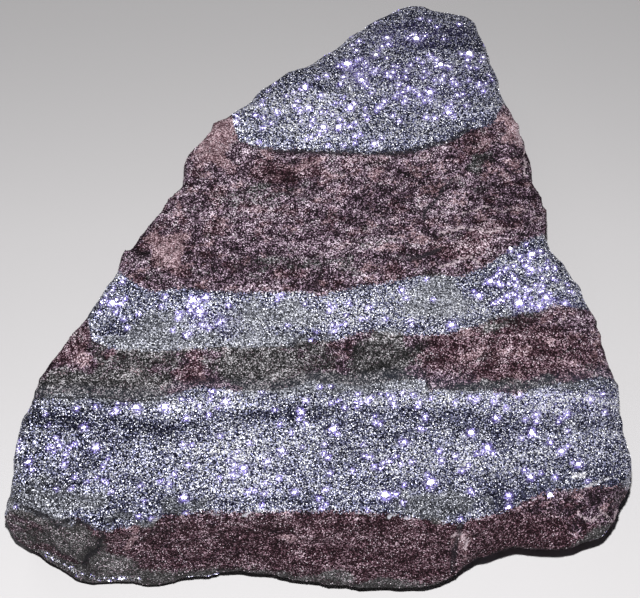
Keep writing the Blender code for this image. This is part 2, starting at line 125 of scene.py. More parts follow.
# Shades, lighter above 0 and darker below, by the band that holds each centre. Most are the rock's
# own lighter and darker patches; the ones marked below are painted shade and painted light at rims
# and before the crest
SHADE_ZONES = [
    # The front jasper
    (-44.8, -54.4, 3, 1.2, 0, -0.6), (54.5, -48, 4, 3, 0, -0.4),
    # The wide hematite
    (-54.5, -33, 4.5, 9, 0, -0.25), (-53, -33, 5, 1.8, 0, -0.4), (-52, -49, 8, 4, 0, -0.65),
    (-50, -42, 8, 8, 0, -0.35), (-46.5, -40.9, 4, 3, 0, 0.35), (-44, -33.6, 12, 1.5, 0, -0.8),
    (-42, -40, 5, 4.5, 0, -0.4), (-39.1, -36.9, 5, 1.8, 0, -0.3), (-36.3, -53.9, 5.2, 1.5, -4, -0.9),
    (-33.5, -53, 4, 0.9, 0, 0.3), (-33, -51, 13, 2.2, 0, -0.4), (-31, -35.8, 6, 1.4, 0, -0.7),
    (-25.9, -51.4, 5, 1.2, 0, -0.6), (-25.8, -29.9, 7, 2, 0, 0.5), (-16.7, -42.2, 9, 6.5, 0, 0.4),
    (-15.4, -28.9, 5, 1.4, 0, 0.4), (-7.7, -32, 11.5, 1.3, 3, -0.8), (-7.5, -38, 3.5, 2, 0, 0.25),
    # (0, -50.3) is painted shade on the strip just before the crest
    (-7, -36.5, 9, 2.2, 0, 0.35), (-4, -32.7, 3, 1.5, 0, -0.3), (0, -50.3, 22, 1.1, 0, -0.4),
    (8, -35.2, 11, 1.2, -3, -0.4), (10, -37, 6, 2, 0, 0.25), (10, -31, 10, 1.2, 0, -0.3),
    (15, -52.9, 4.5, 2, 0, -0.35), (15.4, -29.6, 13.5, 2, 0, 0.3), (20, -35, 7, 1.6, 0, -0.3),
    (20, -32.9, 13, 1.6, 0, -0.65), (21, -43, 7, 1.6, 0, 0.3), (23, -50.8, 10, 2.6, 0, -0.7),
    (25.3, -53.2, 3.5, 1.8, 0, -0.4), (26.5, -29, 3.5, 2.4, 0, 0.4), (28, -41, 14, 3, 0, 0.25),
    (30.5, -40.5, 3, 2, 0, -0.3), (37, -48.3, 9, 2.5, 14, -0.65), (37.2, -34.9, 18.5, 1.7, 1, -0.5),
    (38, -31.4, 12, 1.5, 0, 0.25), (44.5, -29.2, 16, 2.2, 0, 0.5), (45, -36.8, 8, 1.2, 0, 0.2),
    (50, -44.2, 6.5, 4.5, 0, -0.4), (50.9, -29.5, 4, 1.8, 0, 0.3), (53, -33, 8, 1.8, 0, -0.2),
    (57.5, -33.5, 3, 6, 0, 0.45),
    # The thin jasper
    # (-52.5, -23) is painted shade on the left rim, where it curves away
    (-52.5, -23, 3.6, 6, 0, -0.5), (-45.9, -19.7, 2.4, 2.4, 30, 0.35), (-40, -20.5, 14, 3.5, 0, -0.3),
    (-30, -24.8, 26, 1.3, 0, -0.2), (2.7, -21, 8, 4, 0, -0.5), (13.6, -23, 6, 1.6, 0, -0.4),
    (13.6, -19.5, 7, 5, 0, -0.3), (20, -20.5, 3, 5, 0, -0.3), (28.9, -15.2, 3, 1.3, 0, 0.4),
    (37.5, -12, 4, 1.5, 0, 0.4), (38, -26.3, 13, 1.4, 0, -0.45), (47, -20.5, 3.5, 2.5, 0, -0.3),
    (52.4, -21.2, 2.6, 1.7, 20, -0.7), (54.3, -18.6, 2.4, 3.4, -20, -0.35),
    # The middle hematite
    (-36, -9.5, 10, 6, 0, -0.25), (-25.6, -5.7, 3, 2.5, 0, -0.3), (-24.5, -6.5, 3, 2, 0, -0.25),
    (-7.5, -7.5, 4, 2.6, 0, 0.3), (-7.4, -11.7, 5, 4, 0, 0.35), (3, -9.5, 13, 5, 0, 0.25),
    (14.5, -13.5, 4, 1.5, 0, -0.3), (20.7, -7.4, 6, 4, 0, 0.3), (29.4, -9.9, 5, 2.6, 0, 0.8),
    (38.7, 0.2, 4, 3, 0, -0.15),
    # The wide jasper
    (-37, -3.5, 4.5, 1.8, 0, -0.4), (-33.9, 5.7, 4, 3, 0, -0.6), (-30.2, 5.4, 4.6, 2, 4, 0.2),
    (-29.6, 1.3, 3, 2.6, 0, 0.4), (-27.1, 13.8, 2.5, 3.5, 0, 0.35), (-22, 22.5, 5, 2, 0, -0.25),
    (-22, 29.4, 6.2, 4.6, 58, 0.5), (-19.4, -0.2, 11.5, 4, 0, -0.6), (-17.9, 4.2, 3, 3, 0, 0.55),
    (-17.1, 11.8, 7.5, 3.4, 0, 0.65), (-13.1, 16.4, 12, 2, 0, -0.3), (-13, 25.5, 4, 1.5, 0, 0.35),
    (-9, 8.2, 3.5, 3, 0, 0.3), (-7.3, 21.8, 10.5, 3, 0, -0.45), (-4, 8, 7.5, 3, 0, -0.25),
    (-1.5, -4.5, 9, 1.3, 0, -0.35), (7.1, 25, 10, 1.4, 0, 0.45), (8, 22.5, 16, 4, 0, 0.25),
    (9.1, -2.7, 6.6, 1.2, 10, 0.5), (12, 4.6, 6.5, 1.5, 8, 0.25), (20.5, 4.7, 8, 1.3, 2, 0.5),
    (20.9, 1.8, 3.8, 1.4, 8, -0.8), (21, 8.8, 12, 2.2, 3, -0.35), (22.5, 26.6, 5.5, 1.5, 8, 0.45),
    (23, 4, 4, 0.9, 0, -0.7), (26.1, 12, 4, 2, -12, 0.35), (27.9, 19.2, 3.4, 2.2, 0, 0.4),
    (28, 8, 9, 6, 0, 0.25), (33, 23.7, 3.4, 2, 0, -0.6), (36.7, 21.5, 2.4, 1.8, 0, 0.5),
    (37.3, 13.8, 6, 4.5, 0, -0.55), (39.7, 33.6, 2.2, 3.6, 10, 0.8), (40, 18, 6, 13, 0, -0.35),
    # These two are painted light on the right rim, which faces away from the flash
    (43.2, 23.2, 2.6, 4.5, 0, 0.45), (44.1, 11.4, 2.5, 4, 0, 0.4),
    # The hematite at the narrow end
    (-11.5, 34, 6, 4, 0, 0.4), (1, 34, 10, 6.5, 0, 0.25), (12.4, 41, 4, 3, 0, 0.3),
    (16, 60, 7, 4, 0, -0.25), (16.5, 36.5, 13, 4.5, 0, 0.12), (21.5, 31.3, 5, 3.5, 0, 0.35),
    # (27.3, 55.5) is painted shade along the rim at the narrow end
    (27.3, 55.5, 12.5, 7.5, 0, -0.4), (33.4, 49.3, 3, 5, 0, 0.35), (39, 50, 4, 12, 0, 0.1),
]
# Where the hematite is drawn violet, as the zones above; they add to the painted halo round the bright plates
VIOLET_ZONES = [
    (20, 56, 16, 5.5, 0, 0.2), (8, 47, 3.5, 5, 0, 0.3), (46, -10.5, 8, 4, 0, 0.3),
    (-21, -12, 7, 3.5, 0, 0.25), (22, 42, 14, 8, 0, 0.16), (-10, -45, 7, 5, 0, 0.1),
    (44, -30, 17, 4, 0, 0.15),
]
# Clefts and seams: half-width and depth, then the points along them
CLEFTS = [
    (0.55, 0.55, [(-13.5, 27.5), (-7.1, 26.8), (0, 26.4), (12.4, 26.4), (18.8, 26.8),
                  (26.6, 29.2), (30.8, 32.1)]),
    (0.35, 0.25, [(-55.1, -28.3), (-48.1, -28.8), (-41.3, -28.6), (-36.5, -29.4), (-31.2, -29.2),
                  (-28.3, -28.6)]),
    (0.45, 0.4, [(-6.3, -17.8), (-4.7, -16.5), (-3.2, -15.4), (-0.4, -15.2), (2.5, -15.4)]),
    (0.3, 0.45, [(17.7, -17.6), (18.5, -19.5), (19.6, -21.7), (20.8, -24.5), (20.6, -27)]),
    (0.5, 0.5, [(26.8, 20.1), (25.7, 18.5), (23.4, 15.4), (21.2, 12.9), (20.5, 10.5)]),
    (0.5, 0.45, [(17, 1), (20.5, 1.8), (23.9, 3.6)]),
    (0.6, 0.6, [(26.4, -54.9), (25.2, -57.5), (25.7, -60.5)]),
    (0.4, 0.35, [(-57.3, -50.5), (-52.8, -52.5), (-49.6, -54.1), (-46, -53.6), (-43.5, -55),
                 (-42, -55.6)]),
    (0.3, 0.2, [(-44, -56), (-42, -58.5), (-39, -60.5)]),
]
# On the front face, zones and lines lie along X and Z instead
FRONT_GRAY = [
    (-46, 17, 6.5, 6.5, 0, 1), (-40, 11, 5, 4.5, 0, 1), (-49, 7.5, 6, 2.5, 0, 0.9),
    (-54.6, 22.1, 4.7, 2.5, 0, 0.7), (3.4, 10, 4, 1.5, 0, 0.8), (12.1, 7.9, 4, 1.3, 0, 0.7),
    (-20, 5.5, 6, 1.6, 0, 0.6), (51.3, 15.5, 5, 2.2, 12, 0.9), (45, 11, 9, 2.4, 12, 0.9),
]
FRONT_MAROON = [
    (-57.4, 22.2, 1.8, 1.5, 0, 0.9), (-54, 14, 3, 3.2, 0, 1), (-38.2, 20.5, 2, 2.2, 0, 1),
]
FRONT_SALMON = [
    (-34.4, 22.4, 0.9, 1.6, -14, 0.9), (-35.6, 18.4, 1, 2.8, -18, 0.9), (26.6, 19.6, 2, 2, 0, 0.8),
    (27.8, 16.2, 0.9, 2.6, 0, 0.7), (-6.1, 17.7, 1.7, 1.3, 0, 0.6),
]
FRONT_SHADE = [
    (-47.5, 18, 4.5, 4, 0, 0.4), (44, 17, 16, 7, 0, -0.3), (-39.3, 10.8, 4.5, 4, 0, 1),
    (-44, 9.5, 2, 4, 0, -0.6), (-42.6, 16.5, 1.4, 1.4, 0, -1), (26.6, 19.6, 2, 2, 0, 0.6),
    (-35.4, 19.5, 1, 3.6, -16, 0.5), (-6.1, 17.7, 1.7, 1.3, 0, 0.7), (-2.6, 19.2, 1.5, 1.5, 0, 0.8),
    (1.5, 19.5, 1.7, 1.3, 0, 0.7), (7.1, 21.9, 1.1, 1.2, 0, 0.6), (-3.2, 14.6, 1.3, 1, 0, 0.6),
    (3.4, 10, 4, 1.5, 0, 0.5), (50.4, 20.8, 1.7, 1.3, 0, -0.7), (50.8, 19.2, 1.6, 0.6, -20, 0.5),
]
FRONT_CLEFTS = [
    (0.65, 0.7, [(-41.4, 23.4), (-40.7, 21.1), (-41.9, 16.6), (-44, 14), (-45.2, 9.3)]),
    (0.35, 0.35, [(-48.4, 17.5), (-48, 15.4), (-46.3, 13.5)]),
    (0.3, 0.3, [(-55.5, 17.5), (-51.5, 15.5), (-49.5, 11)]),
]
FRONT_VEINS = [(0.35, 1.0, [(24.7, 20.6), (25.6, 21.4), (27.0, 20.8), (27.9, 19.5), (27.7, 17.7)])]
# Rounded lumps on the front face: place, radius, height
FRONT_LUMPS = [
    ((26.4, 19.9), 1.7, 0.9), ((27.9, 16.4), 1.3, 0.6), ((-6.1, 17.7), 1.4, 0.5),
    ((-2.6, 19.2), 1.4, 0.5), ((1.5, 19.5), 1.5, 0.5), ((7.1, 21.9), 1.1, 0.4), ((-47.5, 17), 4, 0.8),
    ((-39.5, 11.5), 3.5, 0.8),
]
# Thin hematite seams near the foot of the front face
GLITTER_SEAMS = [
    [(-53.2, 8.6), (-51.6, 7.9), (-49.7, 7.7), (-47.8, 7.2), (-45.8, 7)],
    [(-43.8, 6.4), (-39.9, 6), (-35.5, 5.6)], [(-25, 6.5), (-20, 6)],
    [(44, 12.6), (50, 13.5), (55, 14.8)],
]
# Pale veins: half-width and strength, then the points along them
PALE_VEINS = [
    (0.42, 0.62, [(5.6, 46.6), (6.4, 42.4), (7, 38), (9.8, 33)]),
    (0.32, 0.9, [(50.2, -47.5), (53.2, -46), (55.1, -45.4)]),
    (0.32, 0.9, [(49.1, -50.8), (51.1, -51.8), (52.9, -51.2)]),
    (0.3, 0.8, [(52.9, -50.1), (55.9, -51.4), (56.6, -49.5)]), (0.5, 1, [(47.7, -45.5), (49.9, -44.7)]),
    (0.4, 0.7, [(24.2, 14.5), (27.3, 13.3), (29.3, 12.2), (33.5, 13.3), (37.1, 12.2),
                (41.2, 12.4), (44.8, 10.9)]),
    (0.4, 0.8, [(24, 7.3), (28.2, 8.5), (30.7, 7.9), (34.3, 7.3), (38, 7.9)]),
    (0.4, 0.8, [(23.8, -0.4), (26.9, 0.5), (29.5, 1.4), (31.5, 0.2)]),
    (0.4, 0.8, [(40.5, 32.3), (41.9, 28), (42, 23.7), (41.6, 21.2)]),
]
# Where bright plates gather, as the zones above
GLINT_ZONES = [
    (39.5, -3.5, 7, 8.5, 0, 1), (-25, -9.6, 3.4, 4, 0, 0.9), (-40.8, -7.5, 3.4, 3.4, 0, 0.9),
    (3.2, -9, 4, 2.8, 0, 0.6), (-37.4, -30.9, 9.5, 1.8, 0, 0.7), (0, 36, 17, 7, 0, 0.4),
    (-46, -43, 8, 6, 0, 0.35), (20, 46, 14, 8, 0, 0.35), (15.4, -29.6, 13.5, 2.5, 0, 0.5),
]
# The largest bright plates, tinted white as a painted highlight: place on the map and radius
STARS = [
    (5.8, 47.6, 0.55), (20.2, 54.7, 0.5), (31.2, 50.8, 0.6), (11.5, 50.3, 0.36), (24.9, 47.6, 0.42),
    (22.9, 40.5, 0.42), (3.9, 31.7, 0.42), (0.9, 32, 0.4), (8.9, 43.1, 0.36), (-2.8, 41.8, 0.42),
    (11.2, 28.2, 0.3), (26.2, 35.3, 0.34), (-2.5, 36.7, 0.34), (6.3, 36.5, 0.4), (14.1, 55.4, 0.3),
    (21.2, -47.1, 0.6), (28.6, -36.7, 0.45), (32, -39.6, 0.45), (48.9, -43.1, 0.42), (39.7, -46, 0.38),
    (45.9, -39.9, 0.34), (35.8, -49.2, 0.36), (35.4, -51.4, 0.32), (43.7, -48.6, 0.34),
    (15.8, -38.3, 0.36), (40.4, -36.4, 0.36), (33.7, -33.8, 0.34), (-42.3, -39.7, 0.42),
    (-29.6, -31, 0.5), (-35.5, -31.3, 0.44), (-55.1, -42.1, 0.36), (-45.1, -35.6, 0.34),
    (-25.1, -8.1, 0.45), (-40.6, -8.5, 0.45), (-23.6, -10.3, 0.42), (-22.3, -7.2, 0.36),
    (38.9, -8.2, 0.55), (42.1, 2.3, 0.45), (34, -3.6, 0.42), (44.6, -7.3, 0.34), (37.8, 3.8, 0.36),
    (25.5, -13.1, 0.42), (31.3, -6.5, 0.36), (12.2, -49.4, 0.6), (2.3, -35.5, 0.4), (-14.2, -43.9, 0.38),
    (-25.2, -50, 0.42), (-3.8, -32.4, 0.34), (-18.3, -29.6, 0.38), (-7, -40.1, 0.34),
]

# Where the rim is finer than the solid's: place on the map, shift along X and Y, reach
RIM_SHIFTS = [
    ((-54, -55), (0.9, 0.5), 7), ((60, -50.5), (-2.2, 0.5), 4.8), ((57.1, -30.7), (-0.9, 0), 4.5),
    ((51.5, -7), (-0.9, 0), 5), ((46, 9.5), (-0.95, 0), 5.5), ((-5.5, 44), (0.7, -0.5), 4),
    ((8.9, 56.3), (-0.6, 0.5), 3), ((2.1, 49.5), (-0.4, 0.3), 2.5), ((-20.5, 32), (-0.5, 0.3), 5),
    ((-40, 1.5), (0.6, 0), 4), ((61, -47.3), (-0.9, 0), 3.2),
]

# Noise: height, longest waves on all axes or on each, octaves, seed
OCTAVES_FALL = (1.0, 2.0)           # each octave is half as high and half as long as the last
RIDGE_SHAPE = (1.0, 2.0)            # offset and gain of the sharp-crested noise
EDGE_WAVER = (0.5, (6.0, 3.0, 3.0), 4, 5.5)
WANDER_X, WANDER_Y = (0.5, 3.0, 3, 31.0), (0.5, 3.0, 3, 37.0)
RAGGED_X, RAGGED_Y = (2.8, 5.0, 4, 91.0), (1.8, 4.0, 4, 97.0)
LEDGE_FIELD = (1.0, (10.0, 5.0, 5.0), 3, 71.9)
GRIT = (0.20, 1.3, 2, 2.9)
SHEETS, SHORT_SHEETS = (0.10, (9.0, 1.6, 1.6), 3, 44.4), (0.07, 1.1, 2, 8.8)
STREAKS, SHORT_STREAKS = (0.45, (15.0, 2.0, 2.0), 4, 53.0), (0.3, 7.0, 2, 57.0)
CHIP_HIGHLIGHT_NOISE = (1.0, 1.6, 2, 12.0)
# Patches of noise: strength, the noise at which they start and are full, waves, octaves, seed
RED_PATCHES = (0.60, 0.08, 0.40, (4.5, 3.0, 3.0), 3, 111.0)
GRAY_PATCHES = (0.30, 0.12, 0.45, (5.0, 2.5, 2.5), 3, 131.0)
PINK_PATCHES = (0.45, 0.15, 0.45, (3.5, 2.0, 2.0), 3, 121.0)
BRIGHT_CLUSTERS = (0.09, 0.0, 0.55, (5.0, 4.0, 4.0), 2, 61.0)
GRAIN_CLOUDS = (0.9, -0.2, 0.5, (4.0, 3.0, 3.0), 3, 83.0)

# The relief of the jasper and of the edges
HACKLY_CRESTS = ((4.6, 2.2, 2.2), 4, 17.3)      # waves, octaves, seed
HACKLY_HEIGHT, HACKLY_MEAN = 0.55, 0.55
LEDGE_HEIGHT, LEDGES_IN_FIELD = 0.22, 2.6
LEDGE_LEAN = 0.02                   # how fast the ledges' field rises away from the front
LEDGE_FRONT = 0.72                  # the share of a step at which its steep front starts
EDGE_GROOVE, EDGE_GROOVE_REACH = 0.15, 0.7      # the groove where two bands meet
STEEP_RELIEF = 0.25                 # the share of the relief that steep faces keep
RELIEF_SPAN = 0.5                   # the relief that counts as 1 in the skin's attribute
FRONT_EVENNESS = 0.45               # how much less of it counts on the front face
# The chips along the crest also carry a painted highlight of the edge
CHIP_HIGHLIGHT_REACH, CHIP_HIGHLIGHT_SHARE = 0.24, 0.5           # pale chips along the crest

# Colours of the front face
FRONT_RAGGEDNESS, FRONT_REDNESS, FOOT_GRAY = 0.4, 0.6, 0.75

# Ranges over which one thing turns into another
ZONE_FADE = (0.45, 1.3)             # in half-lengths of a zone, from its full strength to none
UPPER_NORMALS = (-0.1, 0.4)         # a normal's Z, from the underside to the upper faces
SEEN_NORMALS = (-0.5, 0.4)          # the same, for the share of plates and grains
FRONT_NORMALS = (0.95, 0.8)         # from the top to the front face
FLAT_NORMALS = (0.45, 0.85)         # from steep to flat
FRONT_START = (-50.0, -54.0)        # Y, from the top to the front face
FLAT_FOOT = (0.5 * MM, 1.2 * MM)    # Z in metres, from the solid's own foot to the full relief
BARE_FOOT = (0.5, 1.0)              # Z, from no plates and grains to all of them
GRAY_FOOT = (11.0, 7.0)             # Z, from the front face to its gray foot
JASPER_EDGE = (-0.5, 0.5)           # depth in the jasper, from hematite to jasper relief
PLATE_DEPTH, GRAIN_DEPTH = (0.1, -0.7), (-0.1, 0.6)     # the same, for plates and for grains
SLATE_START, SLATE_END = (-0.8, 0.3), (3.4, 1.2)        # Y past the end of the wide hematite

PLATE_SEED, GRAIN_SEED = 11, 23
STEEL_SIDES, SPARK_SIDES, BRIGHT_SIDES = 4, 4, 6
PLATE_FOOT = 0.65                   # a plate's radius at its foot, as a share of that at its face
GRAIN_CUBE = 1.5
MAP_CELL_FILL = 0.3                 # how much of its cell in the bake map a copy takes to either side
# Plates: how many to a square millimetre, how many in a seam, and the share lost in gray rock
STEEL_COUNT, STEEL_IN_SEAM, STEEL_LOST = 2.8, 5.0, 0.3
SPARK_COUNT, SPARK_IN_SEAM, SPARK_LOST = 2.8, 9.0, 0.5
BRIGHT_COUNT, BRIGHT_IN_ZONE, BRIGHT_IN_SEAM, BRIGHT_LOST = 0.04, 0.30, 0.8, 0.75
GRAIN_COUNT, GRAIN_LEAST_CLOUD = 2.2, 0.35
PLATES_UNSEEN, GRAINS_UNSEEN = 0.25, 0.2        # the share of them on the underside
# How their number follows the shade: by how much, and the least and greatest factor
SPARK_SHADE, BRIGHT_SHADE, GRAIN_SHADE = (0.5, 0.2, 1.6), (0.7, 0.2, 1.5), (0.8, 0.3, 1.8)
WIDE_LAYER_END, MIDDLE_LAYER_END = -20.0, 15.0  # Y between the pieces that hold the plates
SEAM_REACH = 0.6                    # the half-width of a glitter seam
IN_SEAM = 0.3                       # the nearness from which a plate counts as in one
# Their radii: the least and what the largest have more, or the least and the most
STEEL_RADII, BRIGHT_RADII = (0.065, 0.10), (0.09, 0.17)
SPARK_SIZES, GRAIN_SIZES = (0.04, 0.075), (0.06, 0.12)
STEEL_THICKNESS, SPARK_THICKNESS, BRIGHT_THICKNESS = 0.14 * MM, 0.10 * MM, 0.20 * MM
STEEL_BEDDED, BEDDED = 0.3, 0.2     # the share of the thickness that a plate lies deeper
STEEL_WIDTH, BRIGHT_WIDTH = (0.6, 1.0), (0.75, 1.0)     # a plate's width as a share of its length
STAR_SIZE, STAR_TOP = 1.2, 0.3      # what scales the stars' radii, and the least Z of a normal for one
FAR_AWAY = 1000.0                   # added to the distance of what may not be picked
# Their tilts in degrees: from the face they lie on, and from where the flash shows
PLATE_TILT, VIOLET_TILT, GRAIN_TILT = (4.0, 42.0), (5.0, 30.0), (5.0, 60.0)
SPARK_STRAY, BRIGHT_STRAY = 24.0, 9.0
SPARK_TOP, BRIGHT_TOP = 0.5, 0.75   # the least Z of a normal on which they turn to the flash
# Ranges of a plate's tint, and how the shade and a seam change it; the silver range ends in white, a painted
# glint
STEEL, SILVER_TO_PAINTED_GLINT, VIOLET = (0.0, 0.55), (0.55, 0.80), (0.90, 1.0)
STEEL_BY_SHADE, GRAIN_BY_SHADE = 0.25, 0.3
SILVER_SHARE, SILVER_BY_SHADE, SILVER_IN_SEAM = 0.28, 0.2, 0.5
# Violet plates round a bright one, a painted halo: how many, how far from it and how large, by its radius and
# more
VIOLET_ROUND_EACH = 3
VIOLET_AWAY, VIOLET_GAP = 0.8, (0.05, 0.30)
VIOLET_SHARE, VIOLET_RADII = 0.3, (0.04, 0.10)
# The painted violet glow, a halo round a bright plate: its reach, what the radius adds to it, and its end in
# reaches
GLOW_REACH, GLOW_BY_RADIUS, GLOW_END = 0.42, 1.1, 2.2


def smoothstep(low, high, value):
    """A share that rises smoothly from 0 at low to 1 at high."""
    share = np.clip((value - low) / (high - low), 0.0, 1.0)
    return share * share * (3.0 - 2.0 * share)


def bell(distance, reach):
    """1 at no distance, and nearly 0 at twice the reach."""
    return np.exp(-(distance / reach) ** 2)


def at_least(least, share):
    """A share of 0 to 1 brought into the range from the least to 1."""
    return least + (1.0 - least) * share


def in_waves(points, waves, seed):
    """The points counted in wave lengths, given in millimetres, one for all axes or one for each."""
    return points / np.broadcast_to(np.asarray(waves, float), (3,)) + seed


def layer(points, height, waves, octaves, seed):
    """Noise of about -height to height at each point, whose longest waves are these."""
    moved = in_waves(points, waves, seed)
    return height * np.array([noise.fractal(Vector(p), *OCTAVES_FALL, octaves) for p in moved])


def ridged(points, waves, octaves, seed):
    """Sharp-crested noise of about 0 to 1."""
    moved = in_waves(points, waves, seed)
    found = [noise.ridged_multi_fractal(Vector(p), *OCTAVES_FALL, octaves, *RIDGE_SHAPE) for p in moved]
    return np.array(found) / 2.0


def patches(points, strength, start, full, waves, octaves, seed):
    """Patches of this strength, where noise rises from start to full."""
    return strength * smoothstep(start, full, layer(points, 1.0, waves, octaves, seed))


def strayed(points, along_x, along_y):
    """The points moved by one layer of noise along X and by another along Y."""
    moved = points.copy()
    moved[:, 0] += layer(points, *along_x)
    moved[:, 1] += layer(points, *along_y)
    return moved


def band_edges(x):
    """The Y of each edge at these X, from the thin hematite layer in front to the narrow end."""
    edges = [CREST, WIDE_HEMATITE_END, THIN_JASPER_END, MIDDLE_HEMATITE_END, WIDE_JASPER_END]
    found = [np.interp(x, *np.transpose(edge)) for edge in edges]
    return [found[0] - FRONT_JASPER_DEPTH, *found]


def jasper_depth(points):
    """How far inside a jasper band a point lies, in millimetres, and below 0 in hematite."""
    y = points[:, 1] - DIP * (TOP - points[:, 2])
    nearest = np.full(len(points), np.inf)
    passed = np.zeros(len(points), int)
    for edge in band_edges(points[:, 0]):
        nearest = np.minimum(nearest, np.abs(y - edge))
        passed += y > edge
    return np.where(passed % 2 == 1, nearest, -nearest)


def zones(points, spots):
    """The sum of these soft-edged zones at each point."""
    total = np.zeros(len(points))
    for centre_x, centre_y, half_x, half_y, turn, strength in spots:
        angle = math.radians(turn)
        x, y = points[:, 0] - centre_x, points[:, 1] - centre_y
        along = (x * math.cos(angle) + y * math.sin(angle)) / half_x
        across = (y * math.cos(angle) - x * math.sin(angle)) / half_y
        total += strength * (1.0 - smoothstep(*ZONE_FADE, np.hypot(along, across)))
    return total


def line_distance(points, line):
    """The distance in the first two columns from each point to a line of straight runs."""
    nearest = np.full(len(points), np.inf)
    for start, end in zip(line[:-1], line[1:]):
        start, run = np.array(start), np.subtract(end, start)
        share = np.clip((points[:, :2] - start) @ run / (run @ run), 0.0, 1.0)
        away = points[:, :2] - start - share[:, None] * run
        nearest = np.minimum(nearest, np.hypot(away[:, 0], away[:, 1]))
    return nearest


def mapped(points):
    """Points of the part's frame, in metres, as places on the band map, in millimetres."""
    places = points / MM
    places[:, :2] -= MAP_SHIFT
    return places


# ---------------------------------------------------------------- the skin
def fine_skin():
    """The solid's surface as an even grid of small faces."""
    bm = bmesh.new()
    bm.from_mesh(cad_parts["banded_stone"].data)
    bmesh.ops.remove_doubles(bm, verts=bm.verts, dist=SAME_PLACE)
    mesh = bpy.data.meshes.new("skin")
    bm.to_mesh(mesh)
    bm.free()
    rough = bpy.data.objects.new("skin", mesh)
    bpy.context.scene.collection.objects.link(rough)
    remesh = rough.modifiers.new("even_skin", "REMESH")
    remesh.mode = "VOXEL"
    remesh.voxel_size = SKIN_GRID
    remesh.use_smooth_shade = True
    bpy.context.view_layer.update()
    even = bpy.data.meshes.new_from_object(rough.evaluated_get(bpy.context.evaluated_depsgraph_get()))
    bpy.data.objects.remove(rough)
    return even


def read_points(mesh, name):
    """The mesh's points ("co") or their normals ("normal"), one row each."""
    flat = np.empty(len(mesh.vertices) * 3)
    mesh.vertices.foreach_get(name, flat)
    return flat.reshape(-1, 3)


def read_attribute(mesh, name):
    values = np.empty(len(mesh.vertices), np.float32)
    mesh.attributes[name].data.foreach_get("value", values)
    return values.astype(float)


def put_attribute(mesh, name, values):
    stored = mesh.attributes.new(name, "FLOAT", "POINT")
    stored.data.foreach_set("value", np.asarray(values, np.float32))


def terraces(points):
    """Broken ledges: a rolling field cut into flat steps with steep fronts."""
    rolling = LEDGES_IN_FIELD * (layer(points, *LEDGE_FIELD) + LEDGE_LEAN * points[:, 1])
    steps = np.floor(rolling)
    return steps + smoothstep(LEDGE_FRONT, 1.0, rolling - steps) - rolling


def broken_relief(places, jasper):
    """The height at each place of the hackly, ledged jasper or of the thinly sheeted hematite."""
    hackly = HACKLY_HEIGHT * (ridged(places, *HACKLY_CRESTS) - HACKLY_MEAN)
    hackly += layer(places, *GRIT) + LEDGE_HEIGHT * terraces(places)
    sheets = layer(places, *SHEETS) + layer(places, *SHORT_SHEETS)
    return jasper * hackly + (1.0 - jasper) * sheets


def clefts_and_lumps(places, wander, upper, front):
    """Where the clefts run, 0 to 1, which the material paints dark as their shade, and how far clefts sink
    and lumps raise each point.
    """
    cleft = np.zeros(len(places))
    sunk = np.zeros(len(places))
    for lines, plan, mask in ((CLEFTS, wander, upper), (FRONT_CLEFTS, wander[:, FRONT_AXES], front)):
        for half_width, fall, line in lines:
            shape = bell(line_distance(plan, line), half_width) * mask
            cleft = np.maximum(cleft, shape)
            sunk = np.maximum(sunk, fall * shape)
    for middle, radius, height in FRONT_LUMPS:
        sunk -= height * front * bell(np.hypot(*(places[:, FRONT_AXES] - middle).T), radius)
    return cleft, sunk


def pale_veins(wander, upper, front):
    """How strong a pale vein is at each point."""
    vein = np.zeros(len(wander))
    for lines, plan, mask in ((PALE_VEINS, wander, upper), (FRONT_VEINS, wander[:, FRONT_AXES], front)):
        for half_width, strength, line in lines:
            vein = np.maximum(vein, strength * bell(line_distance(plan, line), half_width) * mask)
    return vein


def colour_zones(places, upper, front):
    """How gray, maroon and salmon the jasper is, the shade of both rocks, their own patches and some painted
    shade and light, and how violet the hematite is drawn, which adds to its painted halo.
    """
    ragged = strayed(places, RAGGED_X, RAGGED_Y)
    along_front = (places + FRONT_RAGGEDNESS * (ragged - places))[:, FRONT_AXES]
    foot = smoothstep(*GRAY_FOOT, places[:, 2])
    gray = np.maximum(zones(ragged, GRAY_ZONES) * upper, FOOT_GRAY * foot * front)
    gray += patches(places, *GRAY_PATCHES) * (1.0 - front)
    gray += zones(along_front, FRONT_GRAY) * front
    gray = np.clip(gray, 0.0, 1.0)
    maroon = zones(ragged, MAROON_ZONES) * upper + FRONT_REDNESS * front + patches(places, *RED_PATCHES)
    maroon = np.clip(maroon + zones(along_front, FRONT_MAROON) * front, 0.0, 1.0)
    pink = patches(places, *PINK_PATCHES) * (1.0 - front) * (1.0 - gray)
    salmon = (zones(ragged, SALMON_ZONES) + pink) * upper
    salmon = np.minimum(salmon + zones(along_front, FRONT_SALMON) * front, 1.0)
    shade = zones(ragged, SHADE_ZONES) * upper + zones(along_front, FRONT_SHADE) * front
    streaks = layer(places, *STREAKS) + layer(places, *SHORT_STREAKS)
    # The violet zones add to the painted halo round the bright plates
    violet_tint = zones(ragged, VIOLET_ZONES) * upper
    return {"gray": gray, "maroon": maroon, "salmon": salmon, "shade": shade + streaks, "violet_tint": violet_tint}


